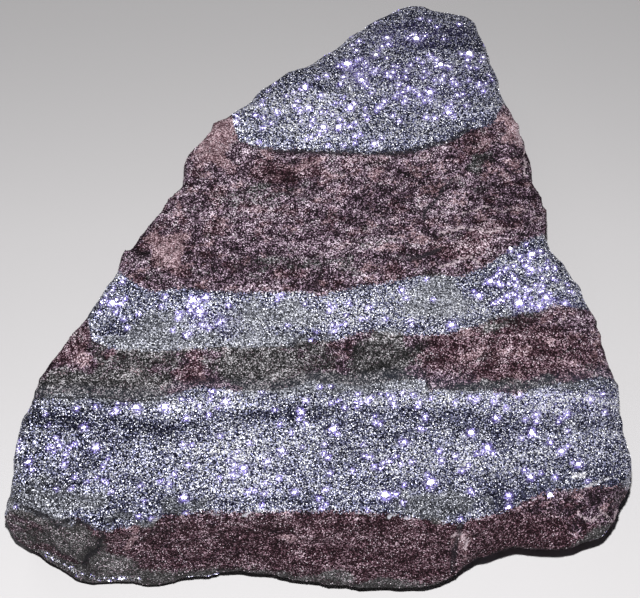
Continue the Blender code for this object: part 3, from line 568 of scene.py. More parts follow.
def roughened(mesh):
    """Raises the relief that the solid is too coarse for, and stores the rock's zones."""
    points = read_points(mesh, "co")
    normals = read_points(mesh, "normal")
    places = mapped(points)
    for middle, shift, reach in RIM_SHIFTS:
        share = bell(np.hypot(*(places[:, :2] - middle).T), reach)
        points[:, :2] += share[:, None] * np.array(shift) * MM
    places = mapped(points)

    depth = jasper_depth(places) + layer(places, *EDGE_WAVER)
    upper = smoothstep(*UPPER_NORMALS, normals[:, 2])
    front = smoothstep(*FRONT_START, places[:, 1]) * smoothstep(*FRONT_NORMALS, normals[:, 2])
    wander = strayed(places, WANDER_X, WANDER_Y)
    cleft, sunk = clefts_and_lumps(places, wander, upper, front)
    relief = broken_relief(places, smoothstep(*JASPER_EDGE, depth))
    groove = EDGE_GROOVE * bell(depth, EDGE_GROOVE_REACH)
    above_foot = smoothstep(*FLAT_FOOT, points[:, 2])
    flat_lying = at_least(STEEP_RELIEF, smoothstep(*FLAT_NORMALS, normals[:, 2]))
    points += normals * ((relief * flat_lying - groove - sunk) * above_foot)[:, None] * MM
    points = np.clip(points, np.array(CAD_BOX[0]), np.array(CAD_BOX[1]))
    mesh.vertices.foreach_set("co", points.ravel())

    # Pale chips along the crest, with a painted highlight of its edge
    past_crest = wander[:, 1] - np.interp(places[:, 0], *np.transpose(CREST))
    chipped_and_lit = bell(past_crest, CHIP_HIGHLIGHT_REACH) * (upper * (CHIP_HIGHLIGHT_SHARE + layer(places, *CHIP_HIGHLIGHT_NOISE)))
    beyond = wander[:, 1] - np.interp(wander[:, 0], *np.transpose(WIDE_HEMATITE_END))
    fields = {
        "jasper_mm": depth,
        # The relief is also stored for the material, which paints shade in its hollows and light on its
        # ridges
        "relief": np.clip(relief / RELIEF_SPAN, -1.0, 1.0) * (1.0 - FRONT_EVENNESS * front),
        # Where clefts run; the material paints them dark, as their shade
        "cleft": cleft,
        "chip_and_highlight": np.clip(chipped_and_lit, 0.0, 1.0),
        "vein": np.clip(pale_veins(wander, upper, front), 0.0, 1.0),
        "front": front,
        "slate": smoothstep(*SLATE_START, beyond) * smoothstep(*SLATE_END, beyond) * upper,
        **colour_zones(places, upper, front),
    }
    for name, values in fields.items():
        put_attribute(mesh, name, values)
    mesh.update()
    return mesh


# ---------------------------------------------------------------- plates and grains
def towards(azimuth, elevation):
    """The direction to this azimuth, 0 being the front, and elevation, in degrees."""
    turn, rise = math.radians(azimuth), math.radians(elevation)
    return Vector((math.sin(turn) * math.cos(rise), -math.cos(turn) * math.cos(rise), math.sin(rise)))


MIRRORING = (towards(0.0, CAMERA_ELEVATION) + towards(FLASH_AZIMUTH, FLASH_ELEVATION)).normalized()


def unit(rows):
    """Each row brought to a length of 1."""
    return rows / np.linalg.norm(rows, axis=1)[:, None]


def scattered(mesh, per_mm2, fields, rng):
    """Random spots on the mesh, so many to a square millimetre at each point: places, normals, fields."""
    mesh.calc_loop_triangles()
    corners = np.empty(len(mesh.loop_triangles) * 3, np.int32)
    mesh.loop_triangles.foreach_get("vertices", corners)
    corners = corners.reshape(-1, 3)
    points, normals = read_points(mesh, "co"), read_points(mesh, "normal")
    a, b, c = (points[corners[:, i]] for i in range(3))
    areas = 0.5 * np.linalg.norm(np.cross(b - a, c - a), axis=1) / MM ** 2
    picked = np.repeat(np.arange(len(corners)), rng.poisson(areas * per_mm2[corners].mean(1)))
    weights = rng.dirichlet((1.0, 1.0, 1.0), len(picked))
    found = corners[picked]

    def spread(values):
        return np.einsum("ij,ij...->i...", weights, values[found])

    return spread(points), unit(spread(normals)), [spread(values) for values in fields]


def triangles_of(bm):
    """The points and triangles of a bmesh, which is freed."""
    bmesh.ops.triangulate(bm, faces=bm.faces)
    points = np.array([v.co for v in bm.verts])
    faces = np.array([[v.index for v in face.verts] for face in bm.faces])
    bm.free()
    return points, faces


def plate_shape(sides):
    """A crystal plate of radius 1 and thickness 1, narrower below."""
    bm = bmesh.new()
    bmesh.ops.create_cone(bm, cap_ends=True, segments=sides, radius1=PLATE_FOOT, radius2=1.0, depth=1.0)
    return triangles_of(bm)


def grain_shape():
    """An angular grain about 2 across."""
    bm = bmesh.new()
    bmesh.ops.create_cube(bm, size=GRAIN_CUBE)
    return triangles_of(bm)


def follow(shade, gain, least, most):
    """A factor that rises with the shade, 1 where the shade is 0."""
    return np.clip(1.0 + gain * shade, least, most)


def random_radii(least, more, count, rng):
    """Radii in metres, with small ones the most common."""
    return MM * (least + more * rng.random(count) ** 2)


def turned_from(normals, tilt, rng):
    """Directions tilted away from these normals by so many degrees, to a random side."""
    side = unit(np.cross(normals, unit(rng.normal(size=normals.shape))))
    return unit(normals + np.tan(np.radians(tilt))[:, None] * side)


def turned_to_flash(normals, seam, least_rise, stray, rng):
    """Facings of plates; on top and in seams, within stray degrees of where the flash shows in them."""
    count = len(normals)
    facing = turned_from(normals, rng.uniform(*PLATE_TILT, count), rng)
    mirror = turned_from(np.tile(MIRRORING, (count, 1)), rng.uniform(0.0, stray, count), rng)
    return np.where(((normals[:, 2] > least_rise) | (seam > IN_SEAM))[:, None], mirror, facing)


def joined(name, shape, centres, facing, sizes, tints, material, rng):
    """One piece of many copies of a shape, each with its own place, facing, size and tint."""
    points, faces = shape
    count = len(centres)
    first = unit(np.cross(facing, unit(rng.normal(size=facing.shape))))
    axes = np.stack([first, np.cross(facing, first), facing], axis=1)
    placed_points = centres[:, None] + np.einsum("pk,nk,nkj->npj", points, sizes, axes)
    placed_points = np.clip(placed_points, np.array(CAD_BOX[0]), np.array(CAD_BOX[1]))
    all_faces = faces[None] + (np.arange(count) * len(points))[:, None, None]
    mesh = bpy.data.meshes.new(name)
    mesh.from_pydata(placed_points.reshape(-1, 3), [], all_faces.reshape(-1, 3))
    put_attribute(mesh, "tint", np.repeat(tints, len(points)))

    # Each copy has a cell of the piece's own map to itself
    per_row = math.ceil(math.sqrt(count))
    cell = np.stack(np.divmod(np.arange(count), per_row), axis=1)[:, None, None]
    inside = 0.5 + MAP_CELL_FILL * points[faces][None, :, :, :2]
    own_map = mesh.uv_layers.new(name="OFBake")
    own_map.data.foreach_set("uv", ((cell + inside) / per_row).ravel())
    mesh.materials.append(material)
    piece = bpy.data.objects.new(name, mesh)
    bpy.context.scene.collection.objects.link(piece)
    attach(piece, "root")


def joined_by_place(kind, chosen_by_place, shape, copies, material, rng):
    """One piece for the copies chosen at each place, named by kind and place."""
    for place, chosen in chosen_by_place.items():
        joined(f"{kind}_{place}", shape, *(values[chosen] for values in copies), material, rng)


def plate_sizes(radii, widths, thickness, rng):
    """Each plate's long radius, its short one as a random share of that, and its thickness."""
    count = len(radii)
    return np.stack([radii, radii * rng.uniform(*widths, count), np.full(count, thickness)], axis=1)


def rock_at(skin):
    """What plates and grains are scattered by, at each point of the skin."""
    places = mapped(read_points(skin, "co"))
    rock = {name: read_attribute(skin, name) for name in ("jasper_mm", "shade", "gray", "front")}
    above_foot = smoothstep(*BARE_FOOT, places[:, 2])
    seams = np.min([line_distance(places[:, FRONT_AXES], seam) for seam in GLITTER_SEAMS], axis=0)
    rock["places"] = places
    rock["up"] = read_points(skin, "normal")[:, 2]
    rock["hematite"] = smoothstep(*PLATE_DEPTH, rock["jasper_mm"]) * above_foot
    rock["jasper"] = smoothstep(*GRAIN_DEPTH, rock["jasper_mm"]) * above_foot
    rock["seams"] = bell(seams, SEAM_REACH) * rock["front"]
    return rock


def spread_plates(rock, per_mm2, lost_in_gray):
    """So many small plates to a square millimetre of hematite, fewer out of sight and in gray rock."""
    seen = at_least(PLATES_UNSEEN, smoothstep(*SEEN_NORMALS, rock["up"]))
    return per_mm2 * rock["hematite"] * seen * (1.0 - lost_in_gray * rock["gray"])


def bed_steel_plates(skin, rock, material, rng):
    """Small plates, most of them dark and some silver up to a painted white glint, in every hematite layer.
    """
    wanted = spread_plates(rock, STEEL_COUNT, STEEL_LOST) + STEEL_IN_SEAM * rock["seams"]
    fields = [rock["shade"], rock["seams"], rock["places"]]
    centres, normals, (shade, seam, places) = scattered(skin, wanted, fields, rng)
    count = len(centres)
    facing = turned_from(normals, rng.uniform(*PLATE_TILT, count), rng)
    radii = random_radii(*STEEL_RADII, count, rng)
    tints = np.clip(rng.uniform(*STEEL, count) + STEEL_BY_SHADE * shade, *STEEL)
    # Some plates get silver tints up to white, a painted glint
    silver_to_glint = rng.random(count) < SILVER_SHARE + SILVER_BY_SHADE * shade + SILVER_IN_SEAM * seam
    tints[silver_to_glint] = rng.uniform(*SILVER_TO_PAINTED_GLINT, silver_to_glint.sum())
    sizes = plate_sizes(radii, STEEL_WIDTH, STEEL_THICKNESS, rng)
    copies = (centres - facing * (STEEL_BEDDED * STEEL_THICKNESS), facing, sizes, tints)
    x, y = places[:, 0], places[:, 1]
    layers = {
        "left": (y < WIDE_LAYER_END) & (x < 0.0),
        "right": (y < WIDE_LAYER_END) & (x >= 0.0),
        "middle": (y >= WIDE_LAYER_END) & (y < MIDDLE_LAYER_END),
        "far": y >= MIDDLE_LAYER_END,
    }
    joined_by_place("hematite_plates", layers, plate_shape(STEEL_SIDES), copies, material, rng)


def bed_spark_plates(skin, rock, material, rng):
    """Tiny silver plates, tinted up to a painted white glint, that lie nearer the angle at which the flash
    shows in them.
    """
    wanted = spread_plates(rock, SPARK_COUNT, SPARK_LOST) * follow(rock["shade"], *SPARK_SHADE)
    wanted += SPARK_IN_SEAM * rock["seams"]
    fields = [rock["places"][:, 1], rock["seams"]]
    centres, normals, (y, seam) = scattered(skin, wanted, fields, rng)
    count = len(centres)
    facing = turned_to_flash(normals, seam, SPARK_TOP, SPARK_STRAY, rng)
    sizes = MM * rng.uniform(*SPARK_SIZES, (count, 3))
    sizes[:, 2] = SPARK_THICKNESS
    # Silver tints up to white, a painted glint
    tints = rng.uniform(*SILVER_TO_PAINTED_GLINT, count)
    copies = (centres - facing * (BEDDED * SPARK_THICKNESS), facing, sizes, tints)
    layers = {"front": y < WIDE_LAYER_END, "far": y >= WIDE_LAYER_END}
    joined_by_place("spark_plates", layers, plate_shape(SPARK_SIDES), copies, material, rng)


def star_spots(skin, rock):
    """The places, normals and radii of the largest plates."""
    points, normals = read_points(skin, "co"), read_points(skin, "normal")
    x, y = rock["places"][:, 0], rock["places"][:, 1]
    kept_off = FAR_AWAY * (rock["up"] < STAR_TOP)
    found = [np.argmin(np.hypot(x - star_x, y - star_y) + kept_off) for star_x, star_y, _ in STARS]
    radii = np.array([radius for _, _, radius in STARS])
    return points[found], normals[found], radii * (STAR_SIZE * MM)


def spread_painted_halo(skin, centres, reach):
    """Stores as painted_halo how near each point of the skin is to a bright plate: 1 at it, 0 past its reach;
    the material paints a violet halo there.
    """
    points = read_points(skin, "co")
    tree = kdtree.KDTree(len(points))
    for index, point in enumerate(points):
        tree.insert(point, index)
    tree.balance()
    painted_halo = np.zeros(len(points))
    for centre, far in zip(centres, reach):
        for _, index, gap in tree.find_range(centre, GLOW_END * far):
            painted_halo[index] = max(painted_halo[index], math.exp(-(gap / far) ** 2))
    put_attribute(skin, "painted_halo", painted_halo)


def bed_bright_plates(skin, rock, material, rng):
    """Bright plates in clusters and alone, tinted white as a painted highlight, with blue-violet ones round
    them and a violet glow, both a painted halo.
    """
    wanted = BRIGHT_COUNT + patches(rock["places"], *BRIGHT_CLUSTERS)
    wanted += BRIGHT_IN_ZONE * zones(rock["places"], GLINT_ZONES)
    wanted = rock["hematite"] * wanted * (1.0 - BRIGHT_LOST * rock["gray"])
    wanted = wanted * follow(rock["shade"], *BRIGHT_SHADE) + BRIGHT_IN_SEAM * rock["seams"]
    centres, normals, (seam,) = scattered(skin, wanted, [rock["seams"]], rng)
    radii = random_radii(*BRIGHT_RADII, len(centres), rng)
    star_centres, star_normals, star_radii = star_spots(skin, rock)
    centres = np.concatenate([centres, star_centres])
    normals = np.concatenate([normals, star_normals])
    seam = np.concatenate([seam, np.zeros(len(star_centres))])
    radii = np.concatenate([radii, star_radii])
    spread_painted_halo(skin, centres, GLOW_REACH * MM + GLOW_BY_RADIUS * radii)
    count = len(centres)
    facing = turned_to_flash(normals, seam, BRIGHT_TOP, BRIGHT_STRAY, rng)

    around = np.repeat(np.arange(count), VIOLET_ROUND_EACH)
    side = unit(np.cross(normals[around], unit(rng.normal(size=(len(around), 3)))))
    away = radii[around] * VIOLET_AWAY + MM * rng.uniform(*VIOLET_GAP, len(around))
    violet_facing = turned_from(normals[around], rng.uniform(*VIOLET_TILT, len(around)), rng)
    violet_radii = VIOLET_SHARE * radii[around] + MM * rng.uniform(*VIOLET_RADII, len(around))
    # Bright plates are tinted white, a painted highlight; the violet ones round them are a painted halo
    tints = np.concatenate([np.full(count, SILVER_TO_PAINTED_GLINT[1]), rng.uniform(*VIOLET, len(around))])
    centres = np.concatenate([centres, centres[around] + side * away[:, None]])
    facing = np.concatenate([facing, violet_facing])
    radii = np.concatenate([radii, violet_radii])
    sizes = plate_sizes(radii, BRIGHT_WIDTH, BRIGHT_THICKNESS, rng)
    centres = centres - facing * (BEDDED * BRIGHT_THICKNESS)
    joined("bright_plates", plate_shape(BRIGHT_SIDES), centres, facing, sizes, tints, material, rng)


def bed_plates(skin, material):
    """The three kinds of hematite plates, which share one run of random draws."""
    rock = rock_at(skin)
    rng = np.random.default_rng(PLATE_SEED)
    bed_steel_plates(skin, rock, material, rng)
    bed_spark_plates(skin, rock, material, rng)
    bed_bright_plates(skin, rock, material, rng)


def bed_grains(skin, material):
    """Pale angular quartz grains in the jasper."""
    rock = rock_at(skin)
    rng = np.random.default_rng(GRAIN_SEED)
    seen = at_least(GRAINS_UNSEEN, smoothstep(*SEEN_NORMALS, rock["up"]))
    clouds = GRAIN_LEAST_CLOUD + patches(rock["places"], *GRAIN_CLOUDS)
    wanted = GRAIN_COUNT * rock["jasper"] * seen * clouds * follow(rock["shade"], *GRAIN_SHADE)
    centres, normals, (shade,) = scattered(skin, wanted, [rock["shade"]], rng)
    count = len(centres)
    sizes = MM * rng.uniform(*GRAIN_SIZES, (count, 3))
    tints = np.clip(rng.random(count) + GRAIN_BY_SHADE * shade, 0.0, 1.0)
    facing = turned_from(normals, rng.uniform(*GRAIN_TILT, count), rng)
    joined("jasper_grains", grain_shape(), centres, facing, sizes, tints, material, rng)


# ---------------------------------------------------------------- shader helpers
def put(tree, kind, inputs=(), **settings):
    """A node with its settings; each input is given a value or joined to another node's socket."""
    made = tree.nodes.new(kind)
    for name, value in settings.items():
        setattr(made, name, value)
    for key, value in dict(inputs).items():
        if isinstance(value, bpy.types.NodeSocket):
            tree.links.new(value, made.inputs[key])
        else:
            made.inputs[key].default_value = value
    return made


def math_node(tree, operation, *values, clamp=False):
    inputs = dict(enumerate(values))
    return put(tree, "ShaderNodeMath", inputs, operation=operation, use_clamp=clamp).outputs[0]


def scaled_sum(tree, *terms):
    """The sum of (socket, factor) pairs."""
    total = math_node(tree, "MULTIPLY", *terms[0])
    for socket, factor in terms[1:]:
        total = math_node(tree, "MULTIPLY_ADD", socket, factor, total)
    return total


def vector_math(tree, operation, *values):
    return put(tree, "ShaderNodeVectorMath", dict(enumerate(values)), operation=operation).outputs[0]


def scaled(tree, vector, factor):
    return put(tree, "ShaderNodeVectorMath", {0: vector, "Scale": factor}, operation="SCALE").outputs[0]


def between(tree, value, low, high, to_low=0.0, to_high=1.0):
    """value taken smoothly from the range low to high into the range to_low to to_high."""
    inputs = {"Value": value, "From Min": low, "From Max": high, "To Min": to_low, "To Max": to_high}
    return put(tree, "ShaderNodeMapRange", inputs, interpolation_type="SMOOTHSTEP").outputs["Result"]


def colour_mix(tree, share, first, second):
    return put(tree, "ShaderNodeMix", {0: share, 6: first, 7: second}, data_type="RGBA").outputs[2]


def attribute(tree, name):
    return put(tree, "ShaderNodeAttribute", attribute_name=name).outputs["Fac"]


def ramp(tree, value, stops):
    """A colour ramp of (place, linear colour) stops."""
    made = put(tree, "ShaderNodeValToRGB", {"Fac": value})
    elements = made.color_ramp.elements
    while len(elements) < len(stops):
        elements.new(0.5)
    for element, (place, colour) in zip(elements, stops):
        element.position = place
        element.color = (*colour, 1.0)
    return made.outputs["Color"]


def new_group(name, inputs, outputs):
    """An empty node group with (name, kind, default) inputs and (name, kind) outputs."""
    tree = bpy.data.node_groups.new(name, "ShaderNodeTree")
    for label, kind, default in inputs:
        socket = tree.interface.new_socket(label, in_out="INPUT", socket_type=kind)
        if default is not None:
            socket.default_value = default
    for label, kind in outputs:
        tree.interface.new_socket(label, in_out="OUTPUT", socket_type=kind)
    return tree, put(tree, "NodeGroupInput").outputs, put(tree, "NodeGroupOutput").inputs


# A crystal's bright core is used as a painted glint
CORE_FADE = (0.12, 0.42)            # the distances over which a crystal's bright core ends, in cells


def crystal_facets():
    """Packed crystals: each cell has its own random numbers and a flat face tilted its own way."""
    tree, given, out = new_group(
        "crystal_facets",
        [("Vector", "NodeSocketVector", None), ("Cells per Metre", "NodeSocketFloat", 3000.0),
         ("Tilt", "NodeSocketFloat", 0.8)],
        [("Pick", "NodeSocketFloat"), ("Second Pick", "NodeSocketFloat"), ("Core", "NodeSocketFloat"),
         ("Normal", "NodeSocketVector")],
    )
    cells = put(tree, "ShaderNodeTexVoronoi",
                {"Vector": given["Vector"], "Scale": given["Cells per Metre"], "Randomness": 1.0})
    parts = put(tree, "ShaderNodeSeparateColor", {"Color": cells.outputs["Color"]}).outputs
    centred = vector_math(tree, "SUBTRACT", cells.outputs["Color"], (0.5, 0.5, 0.5))
    tilted = scaled(tree, scaled(tree, centred, given["Tilt"]), 2.0)     # so that it reaches 1 either way
    surface = put(tree, "ShaderNodeNewGeometry").outputs["Normal"]
    normal = vector_math(tree, "NORMALIZE", vector_math(tree, "ADD", surface, tilted))
    tree.links.new(parts["Red"], out["Pick"])
    tree.links.new(parts["Blue"], out["Second Pick"])
    tree.links.new(between(tree, cells.outputs["Distance"], *CORE_FADE, 1.0, 0.0), out["Core"])
    tree.links.new(normal, out["Normal"])
    return tree


def grain_mottle():
    """Cloudy mineral colour, broad and fine, each about 0 to 1."""
    tree, given, out = new_group(
        "grain_mottle",
        [("Vector", "NodeSocketVector", None), ("Patches per Metre", "NodeSocketFloat", 400.0),
         ("Grain per Metre", "NodeSocketFloat", 3000.0)],
        [("Broad", "NodeSocketFloat"), ("Fine", "NodeSocketFloat")],
    )
    for label, scale, detail, low, high in (("Broad", "Patches per Metre", 3.0, 0.28, 0.72),
                                            ("Fine", "Grain per Metre", 1.0, 0.25, 0.75)):
        inputs = {"Vector": given["Vector"], "Scale": given[scale], "Detail": detail, "Roughness": 0.6}
        clouds = put(tree, "ShaderNodeTexNoise", inputs).outputs["Fac"]
        tree.links.new(between(tree, clouds, low, high), out[label])
    return tree


FACETS = crystal_facets()
MOTTLE = grain_mottle()


def placed(tree, group, inputs):
    return put(tree, "ShaderNodeGroup", inputs, node_tree=group).outputs


def new_material(name, **sockets):
    material = bpy.data.materials.new(name)
    material.use_nodes = True
    tree = material.node_tree
    shader = tree.nodes["Principled BSDF"]
    for key, value in sockets.items():
        shader.inputs[key.replace("_", " ")].default_value = value
    return material, tree, shader


# The hematite ramps, by level: their light ends, up to white, are painted sparkle on top of the real glints
# of the tilted facets
HEMATITE_SHADES = [
    (0.00, (0.005, 0.005, 0.012)), (0.42, (0.0185, 0.0195, 0.034)), (0.58, (0.075, 0.079, 0.138)),
    (0.68, (0.272, 0.280, 0.480)), (0.78, (0.755, 0.765, 1.0)), (0.88, (1.00, 1.00, 1.0)),
]
DULL_HEMATITE_SHADES = [
    (0.00, (0.009, 0.009, 0.012)), (0.38, (0.048, 0.050, 0.060)), (0.56, (0.180, 0.186, 0.215)),
    (0.74, (0.500, 0.510, 0.580)), (1.00, (0.92, 0.93, 1.0)),
]
# The violet painted as a halo round the bright plates and in the violet zones
VIOLET_SHADES = [
    (0.00, (0.022, 0.017, 0.055)), (0.40, (0.090, 0.070, 0.220)), (0.65, (0.270, 0.225, 0.600)),
    (0.85, (0.78, 0.75, 1.0)), (1.00, (1.00, 1.00, 1.0)),
]
JASPER_SHADES = [
    (0.00, (0.003, 0.0015, 0.0024)), (0.36, (0.010, 0.0053, 0.008)), (0.50, (0.025, 0.0130, 0.021)),
    (0.64, (0.086, 0.050, 0.0755)), (0.80, (0.322, 0.227, 0.300)), (1.00, (0.78, 0.66, 0.75)),
]
MAROON_SHADES = [
    (0.00, (0.004, 0.001, 0.002)), (0.36, (0.013, 0.0042, 0.0063)), (0.50, (0.029, 0.0110, 0.0165)),
    (0.64, (0.089, 0.042, 0.057)), (0.80, (0.300, 0.196, 0.240)), (1.00, (0.74, 0.60, 0.67)),
]
GRAY_SHADES = [
    (0.00, (0.0035, 0.0035, 0.0035)), (0.36, (0.013, 0.0125, 0.013)), (0.50, (0.030, 0.0285, 0.030)),
    (0.64, (0.078, 0.073, 0.077)), (0.80, (0.245, 0.232, 0.246)), (1.00, (0.60, 0.58, 0.61)),
]
SALMON_SHADES = [
    (0.00, (0.016, 0.007, 0.009)), (0.32, (0.075, 0.038, 0.045)), (0.62, (0.235, 0.148, 0.170)),
    (1.00, (0.60, 0.46, 0.50)),
]
# Plate tints: dark steel, silver up to white at 0.80 as a painted highlight, and violet for the plates of the
# painted halo
PLATE_TINTS = [
    (0.00, (0.011, 0.0115, 0.017)), (0.30, (0.041, 0.043, 0.064)), (0.55, (0.155, 0.158, 0.250)),
    (0.80, (0.97, 0.97, 1.0)), (0.89, (0.50, 0.45, 0.95)), (1.00, (0.20, 0.15, 0.60)),
]
GRAIN_TINTS = [
    (0.00, (0.022, 0.012, 0.017)), (0.50, (0.12, 0.080, 0.100)), (0.80, (0.38, 0.30, 0.35)),
    (1.00, (0.78, 0.70, 0.76)),
]
# Painted shade in the clefts
CLEFT_PAINTED_SHADE = (0.010, 0.009, 0.012, 1.0)
# Pale chips along the crest, with a painted highlight of its edge
CHIP_AND_HIGHLIGHT_COLOUR = (0.46, 0.46, 0.52, 1.0)
VEIN_COLOUR = (0.42, 0.34, 0.37, 1.0)
PALE_HEMATITE = (0.62, 0.61, 0.66, 1.0)
DUSTY_GRAY = (0.080, 0.075, 0.076, 1.0)
SLATE = (0.034, 0.041, 0.064, 1.0)
DUSTY_SHARE, SLATE_SHARE = 0.2, 0.22
MASK_EDGE = (0.65, 1.0)             # where a colour's soft mask, broken up by grains, becomes rock of it
JASPER_BLEND = (-0.10, 0.10)        # the depth in the jasper over which one colour meets the other
# The edge of the painted violet halo
HALO_AND_TINT_EDGE = (0.18, 0.85)
HEMATITE_METAL, METAL_IN_GRAY = 0.55, -0.20
FLAKE_ROUGHNESS, JASPER_ROUGHNESS = (0.30, 0.55), 0.85
BUMP_STRENGTH, BUMP_DEPTH = 0.15, 0.25 * MM
# Lines drawn over both rocks: the attribute, how far grains break it up, its start, end and most.
# The crest line is pale chips with a painted highlight of the edge, the cleft line is painted shade
CHIP_AND_HIGHLIGHT_LINE = ("chip_and_highlight", 0.5, 0.7, 1.3, 0.75)
VEIN_LINE = ("vein", 0.6, 0.70, 1.05, 0.8)
CLEFT_LINE = ("cleft", 0.3, 0.35, 1.0, 0.85)


def rock_material():
    """Hematite flakes and jasper grains side by side, each crystal with its own level on a colour ramp."""
    material, tree, shader = new_material("banded_rock", Specular_IOR_Level=0.12)
    where = put(tree, "ShaderNodeTexCoord").outputs["Object"]
    gray, maroon, salmon = (attribute(tree, name) for name in ("gray", "maroon", "salmon"))
    shade, relief, front = (attribute(tree, name) for name in ("shade", "relief", "front"))
    mottle = placed(tree, MOTTLE, {"Vector": where, "Patches per Metre": 420.0, "Grain per Metre": 2500.0})
    broad, fine = mottle["Broad"], mottle["Fine"]
    flakes = placed(tree, FACETS, {"Vector": where, "Cells per Metre": 4700.0, "Tilt": 0.55})
    grains = placed(tree, FACETS, {"Vector": where, "Cells per Metre": 5200.0, "Tilt": 0.3})
    points = placed(tree, FACETS, {"Vector": where, "Cells per Metre": 2700.0, "Tilt": 0.0})
    # Sparse white cores, painted glints added to the levels of both rocks
    painted_glints = math_node(tree, "MULTIPLY", points["Core"], scaled_sum(tree, (points["Pick"], 0.6), (1.0, 0.4)))

    def broken(mask):
        """A mask with its soft edge broken up into grains."""
        return between(tree, scaled_sum(tree, (mask, 1.0), (fine, 0.5), (broad, 0.3)), *MASK_EDGE)

    gray, maroon, salmon = broken(gray), broken(maroon), broken(salmon)
    jasper = scaled_sum(tree, (attribute(tree, "jasper_mm"), 1.0), (fine, 0.9), (0.9, -0.5))
    jasper = between(tree, jasper, *JASPER_BLEND)

    # The relief term paints shade in the hollows and light on the ridges of the hematite
    level = scaled_sum(tree, (flakes["Pick"], 0.90), (painted_glints, 0.96), (broad, 0.04), (shade, 0.24),
                       (relief, 0.08), (1.0, -0.070))
    hematite = ramp(tree, level, HEMATITE_SHADES)
    dull = ramp(tree, scaled_sum(tree, (level, 0.75), (1.0, 0.12)), DULL_HEMATITE_SHADES)
    hematite = colour_mix(tree, gray, hematite, dull)
    # The painted halo round the bright plates, widened by the violet zones, drawn in violet
    painted_halo = scaled_sum(tree, (attribute(tree, "painted_halo"), 1.0), (attribute(tree, "violet_tint"), 1.0))
    violet_tint = ramp(tree, scaled_sum(tree, (level, 0.7), (painted_halo, 0.3), (1.0, 0.1)), VIOLET_SHADES)
    painted_halo_and_tint = between(tree, scaled_sum(tree, (painted_halo, 1.0), (fine, 0.3)), *HALO_AND_TINT_EDGE)
    hematite = colour_mix(tree, painted_halo_and_tint, hematite, violet_tint)

    # Here too the relief paints shade in the hollows and light on the ridges, of the jasper
    level = scaled_sum(tree, (grains["Pick"], 0.97), (painted_glints, 0.30), (fine, 0.06), (broad, 0.14), (shade, 0.15),
                       (relief, 0.34), (front, -0.105), (1.0, -0.133))
    rock = ramp(tree, level, JASPER_SHADES)
    for mask, shades in ((maroon, MAROON_SHADES), (gray, GRAY_SHADES)):
        rock = colour_mix(tree, mask, rock, ramp(tree, level, shades))
    dusty = colour_mix(tree, DUSTY_SHARE, rock, DUSTY_GRAY)
    rock = colour_mix(tree, math_node(tree, "MULTIPLY", gray, front), rock, dusty)
    rock = colour_mix(tree, salmon, rock, ramp(tree, level, SALMON_SHADES))
    slate = math_node(tree, "MULTIPLY", attribute(tree, "slate"), SLATE_SHARE)
    rock = colour_mix(tree, slate, rock, SLATE)

    colour = colour_mix(tree, jasper, hematite, rock)
    pale = colour_mix(tree, jasper, PALE_HEMATITE, VEIN_COLOUR)
    for line, tone in ((CHIP_AND_HIGHLIGHT_LINE, CHIP_AND_HIGHLIGHT_COLOUR), (VEIN_LINE, pale), (CLEFT_LINE, CLEFT_PAINTED_SHADE)):
        name, graininess, start, full, most = line
        mask = scaled_sum(tree, (attribute(tree, name), 1.0), (fine, graininess))
        colour = colour_mix(tree, between(tree, mask, start, full, 0.0, most), colour, tone)
    tree.links.new(colour, shader.inputs["Base Color"])

    metal = scaled_sum(tree, (gray, METAL_IN_GRAY), (1.0, HEMATITE_METAL))
    metal = math_node(tree, "MULTIPLY", metal, math_node(tree, "SUBTRACT", 1.0, jasper), clamp=True)
    tree.links.new(metal, shader.inputs["Metallic"])
    polish = between(tree, flakes["Second Pick"], 0.0, 1.0, *FLAKE_ROUGHNESS)
    rough = put(tree, "ShaderNodeMix", {0: jasper, 2: polish, 3: JASPER_ROUGHNESS}).outputs[0]
    tree.links.new(rough, shader.inputs["Roughness"])
    normal = put(tree, "ShaderNodeMix", {0: jasper, 4: flakes["Normal"], 5: grains["Normal"]},
                 data_type="VECTOR").outputs[1]
    bump = {"Strength": BUMP_STRENGTH, "Distance": BUMP_DEPTH, "Height": level, "Normal": normal}
    bumped = put(tree, "ShaderNodeBump", bump).outputs["Normal"]
    tree.links.new(bumped, shader.inputs["Normal"])
    return material


def plate_material():
    """Metallic hematite plates, from dark steel through silver to white, a painted highlight, and blue-violet
    for the plates of the painted halo.
    """
    material, tree, shader = new_material("hematite_plates", Metallic=0.5, Roughness=0.4)
    tree.links.new(ramp(tree, attribute(tree, "tint"), PLATE_TINTS), shader.inputs["Base Color"])
    return material


def grain_material():
    """Quartz grains, from dark rose to nearly white."""
    material, tree, shader = new_material("jasper_grains", Roughness=0.85, Specular_IOR_Level=0.1)
    tree.links.new(ramp(tree, attribute(tree, "tint"), GRAIN_TINTS), shader.inputs["Base Color"])
    return material


# ---------------------------------------------------------------- stage
AIM = Vector((0.2, -6.2, 18.0)) * MM        # the point at the middle of the view
CAMERA_DISTANCE = 450 * MM
VIEW_WIDTH = 128 * MM                       # what the view spans at the aim's distance
SENSOR, NEAR_CLIP = 36.0, 0.01
# Lights: shape, size, energy, azimuth, elevation, distance
FLASH = ("DISK", 8 * MM, 3.4, FLASH_AZIMUTH, FLASH_ELEVATION, 455 * MM)
FILL = ("SQUARE", 0.5, 0.8, -150.0, 45.0, 0.9)
FLOOR_HALF_WIDTH = 3.0
# The paper's darkening away from the front is a painted falloff of the flash's light
PAPER_SPAN = (-0.10, 0.11)                  # the Y over which the paper darkens away from the front
PAPER_PAINTED_FALLOFF = [(0.0, (0.53, 0.52, 0.525)), (0.6, (0.44, 0.43, 0.435)), (1.0, (0.33, 0.322, 0.326))]
STUDIO_AIR, STUDIO_STRENGTH = (0.82, 0.82, 0.85, 1.0), 0.025


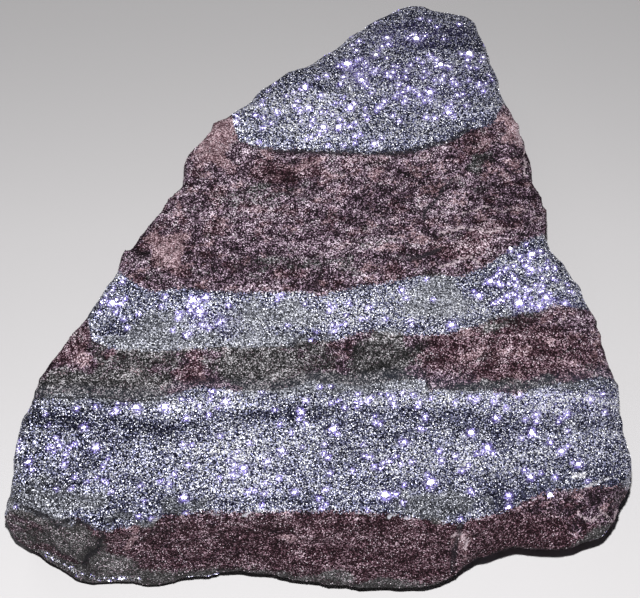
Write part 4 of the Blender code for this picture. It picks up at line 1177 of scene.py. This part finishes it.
def paper_material():
    material, tree, shader = new_material("pale_paper", Roughness=0.9)
    where = put(tree, "ShaderNodeTexCoord").outputs["Object"]
    across = put(tree, "ShaderNodeSeparateXYZ", {"Vector": where}).outputs["Y"]
    # Painted falloff of the flash's light across the paper
    tone = ramp(tree, between(tree, across, *PAPER_SPAN), PAPER_PAINTED_FALLOFF)
    tree.links.new(tone, shader.inputs["Base Color"])
    return material


def lay_floor():
    bm = bmesh.new()
    bmesh.ops.create_grid(bm, x_segments=1, y_segments=1, size=FLOOR_HALF_WIDTH)
    mesh = bpy.data.meshes.new("floor")
    bm.to_mesh(mesh)
    bm.free()
    mesh.materials.append(paper_material())
    floor = bpy.data.objects.new("floor", mesh)
    bpy.context.scene.collection.objects.link(floor)


def aimed(data, name, azimuth, elevation, distance):
    """An object looking at AIM from this azimuth, 0 being the front, and elevation, in degrees."""
    back = towards(azimuth, elevation)
    thing = bpy.data.objects.new(name, data)
    thing.location = AIM + back * distance
    thing.rotation_euler = back.to_track_quat("Z", "Y").to_euler()
    bpy.context.scene.collection.objects.link(thing)
    return thing


def set_camera():
    lens = bpy.data.cameras.new("camera")
    lens.sensor_width = SENSOR
    lens.lens = SENSOR * CAMERA_DISTANCE / VIEW_WIDTH
    lens.clip_start = NEAR_CLIP
    bpy.context.scene.camera = aimed(lens, "camera", 0.0, CAMERA_ELEVATION, CAMERA_DISTANCE)


def area_light(name, shape, size, energy, azimuth, elevation, distance):
    light = bpy.data.lights.new(name, "AREA")
    light.shape = shape
    light.size = size
    light.energy = energy
    aimed(light, name, azimuth, elevation, distance)


def set_lights():
    area_light("flash", *FLASH)
    area_light("fill", *FILL)
    world = bpy.data.worlds.new("studio")
    world.use_nodes = True
    background = world.node_tree.nodes["Background"]
    background.inputs["Color"].default_value = STUDIO_AIR
    background.inputs["Strength"].default_value = STUDIO_STRENGTH
    bpy.context.scene.world = world
    bpy.context.scene.view_settings.view_transform = "Standard"


skin = bpy.data.objects.new("stone_skin", roughened(fine_skin()))
skin.data.materials.clear()
skin.data.materials.append(rock_material())
bpy.context.scene.collection.objects.link(skin)
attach(skin, "root")
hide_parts("banded_stone")
bed_plates(skin.data, plate_material())
bed_grains(skin.data, grain_material())

lay_floor()
set_camera()
set_lights()
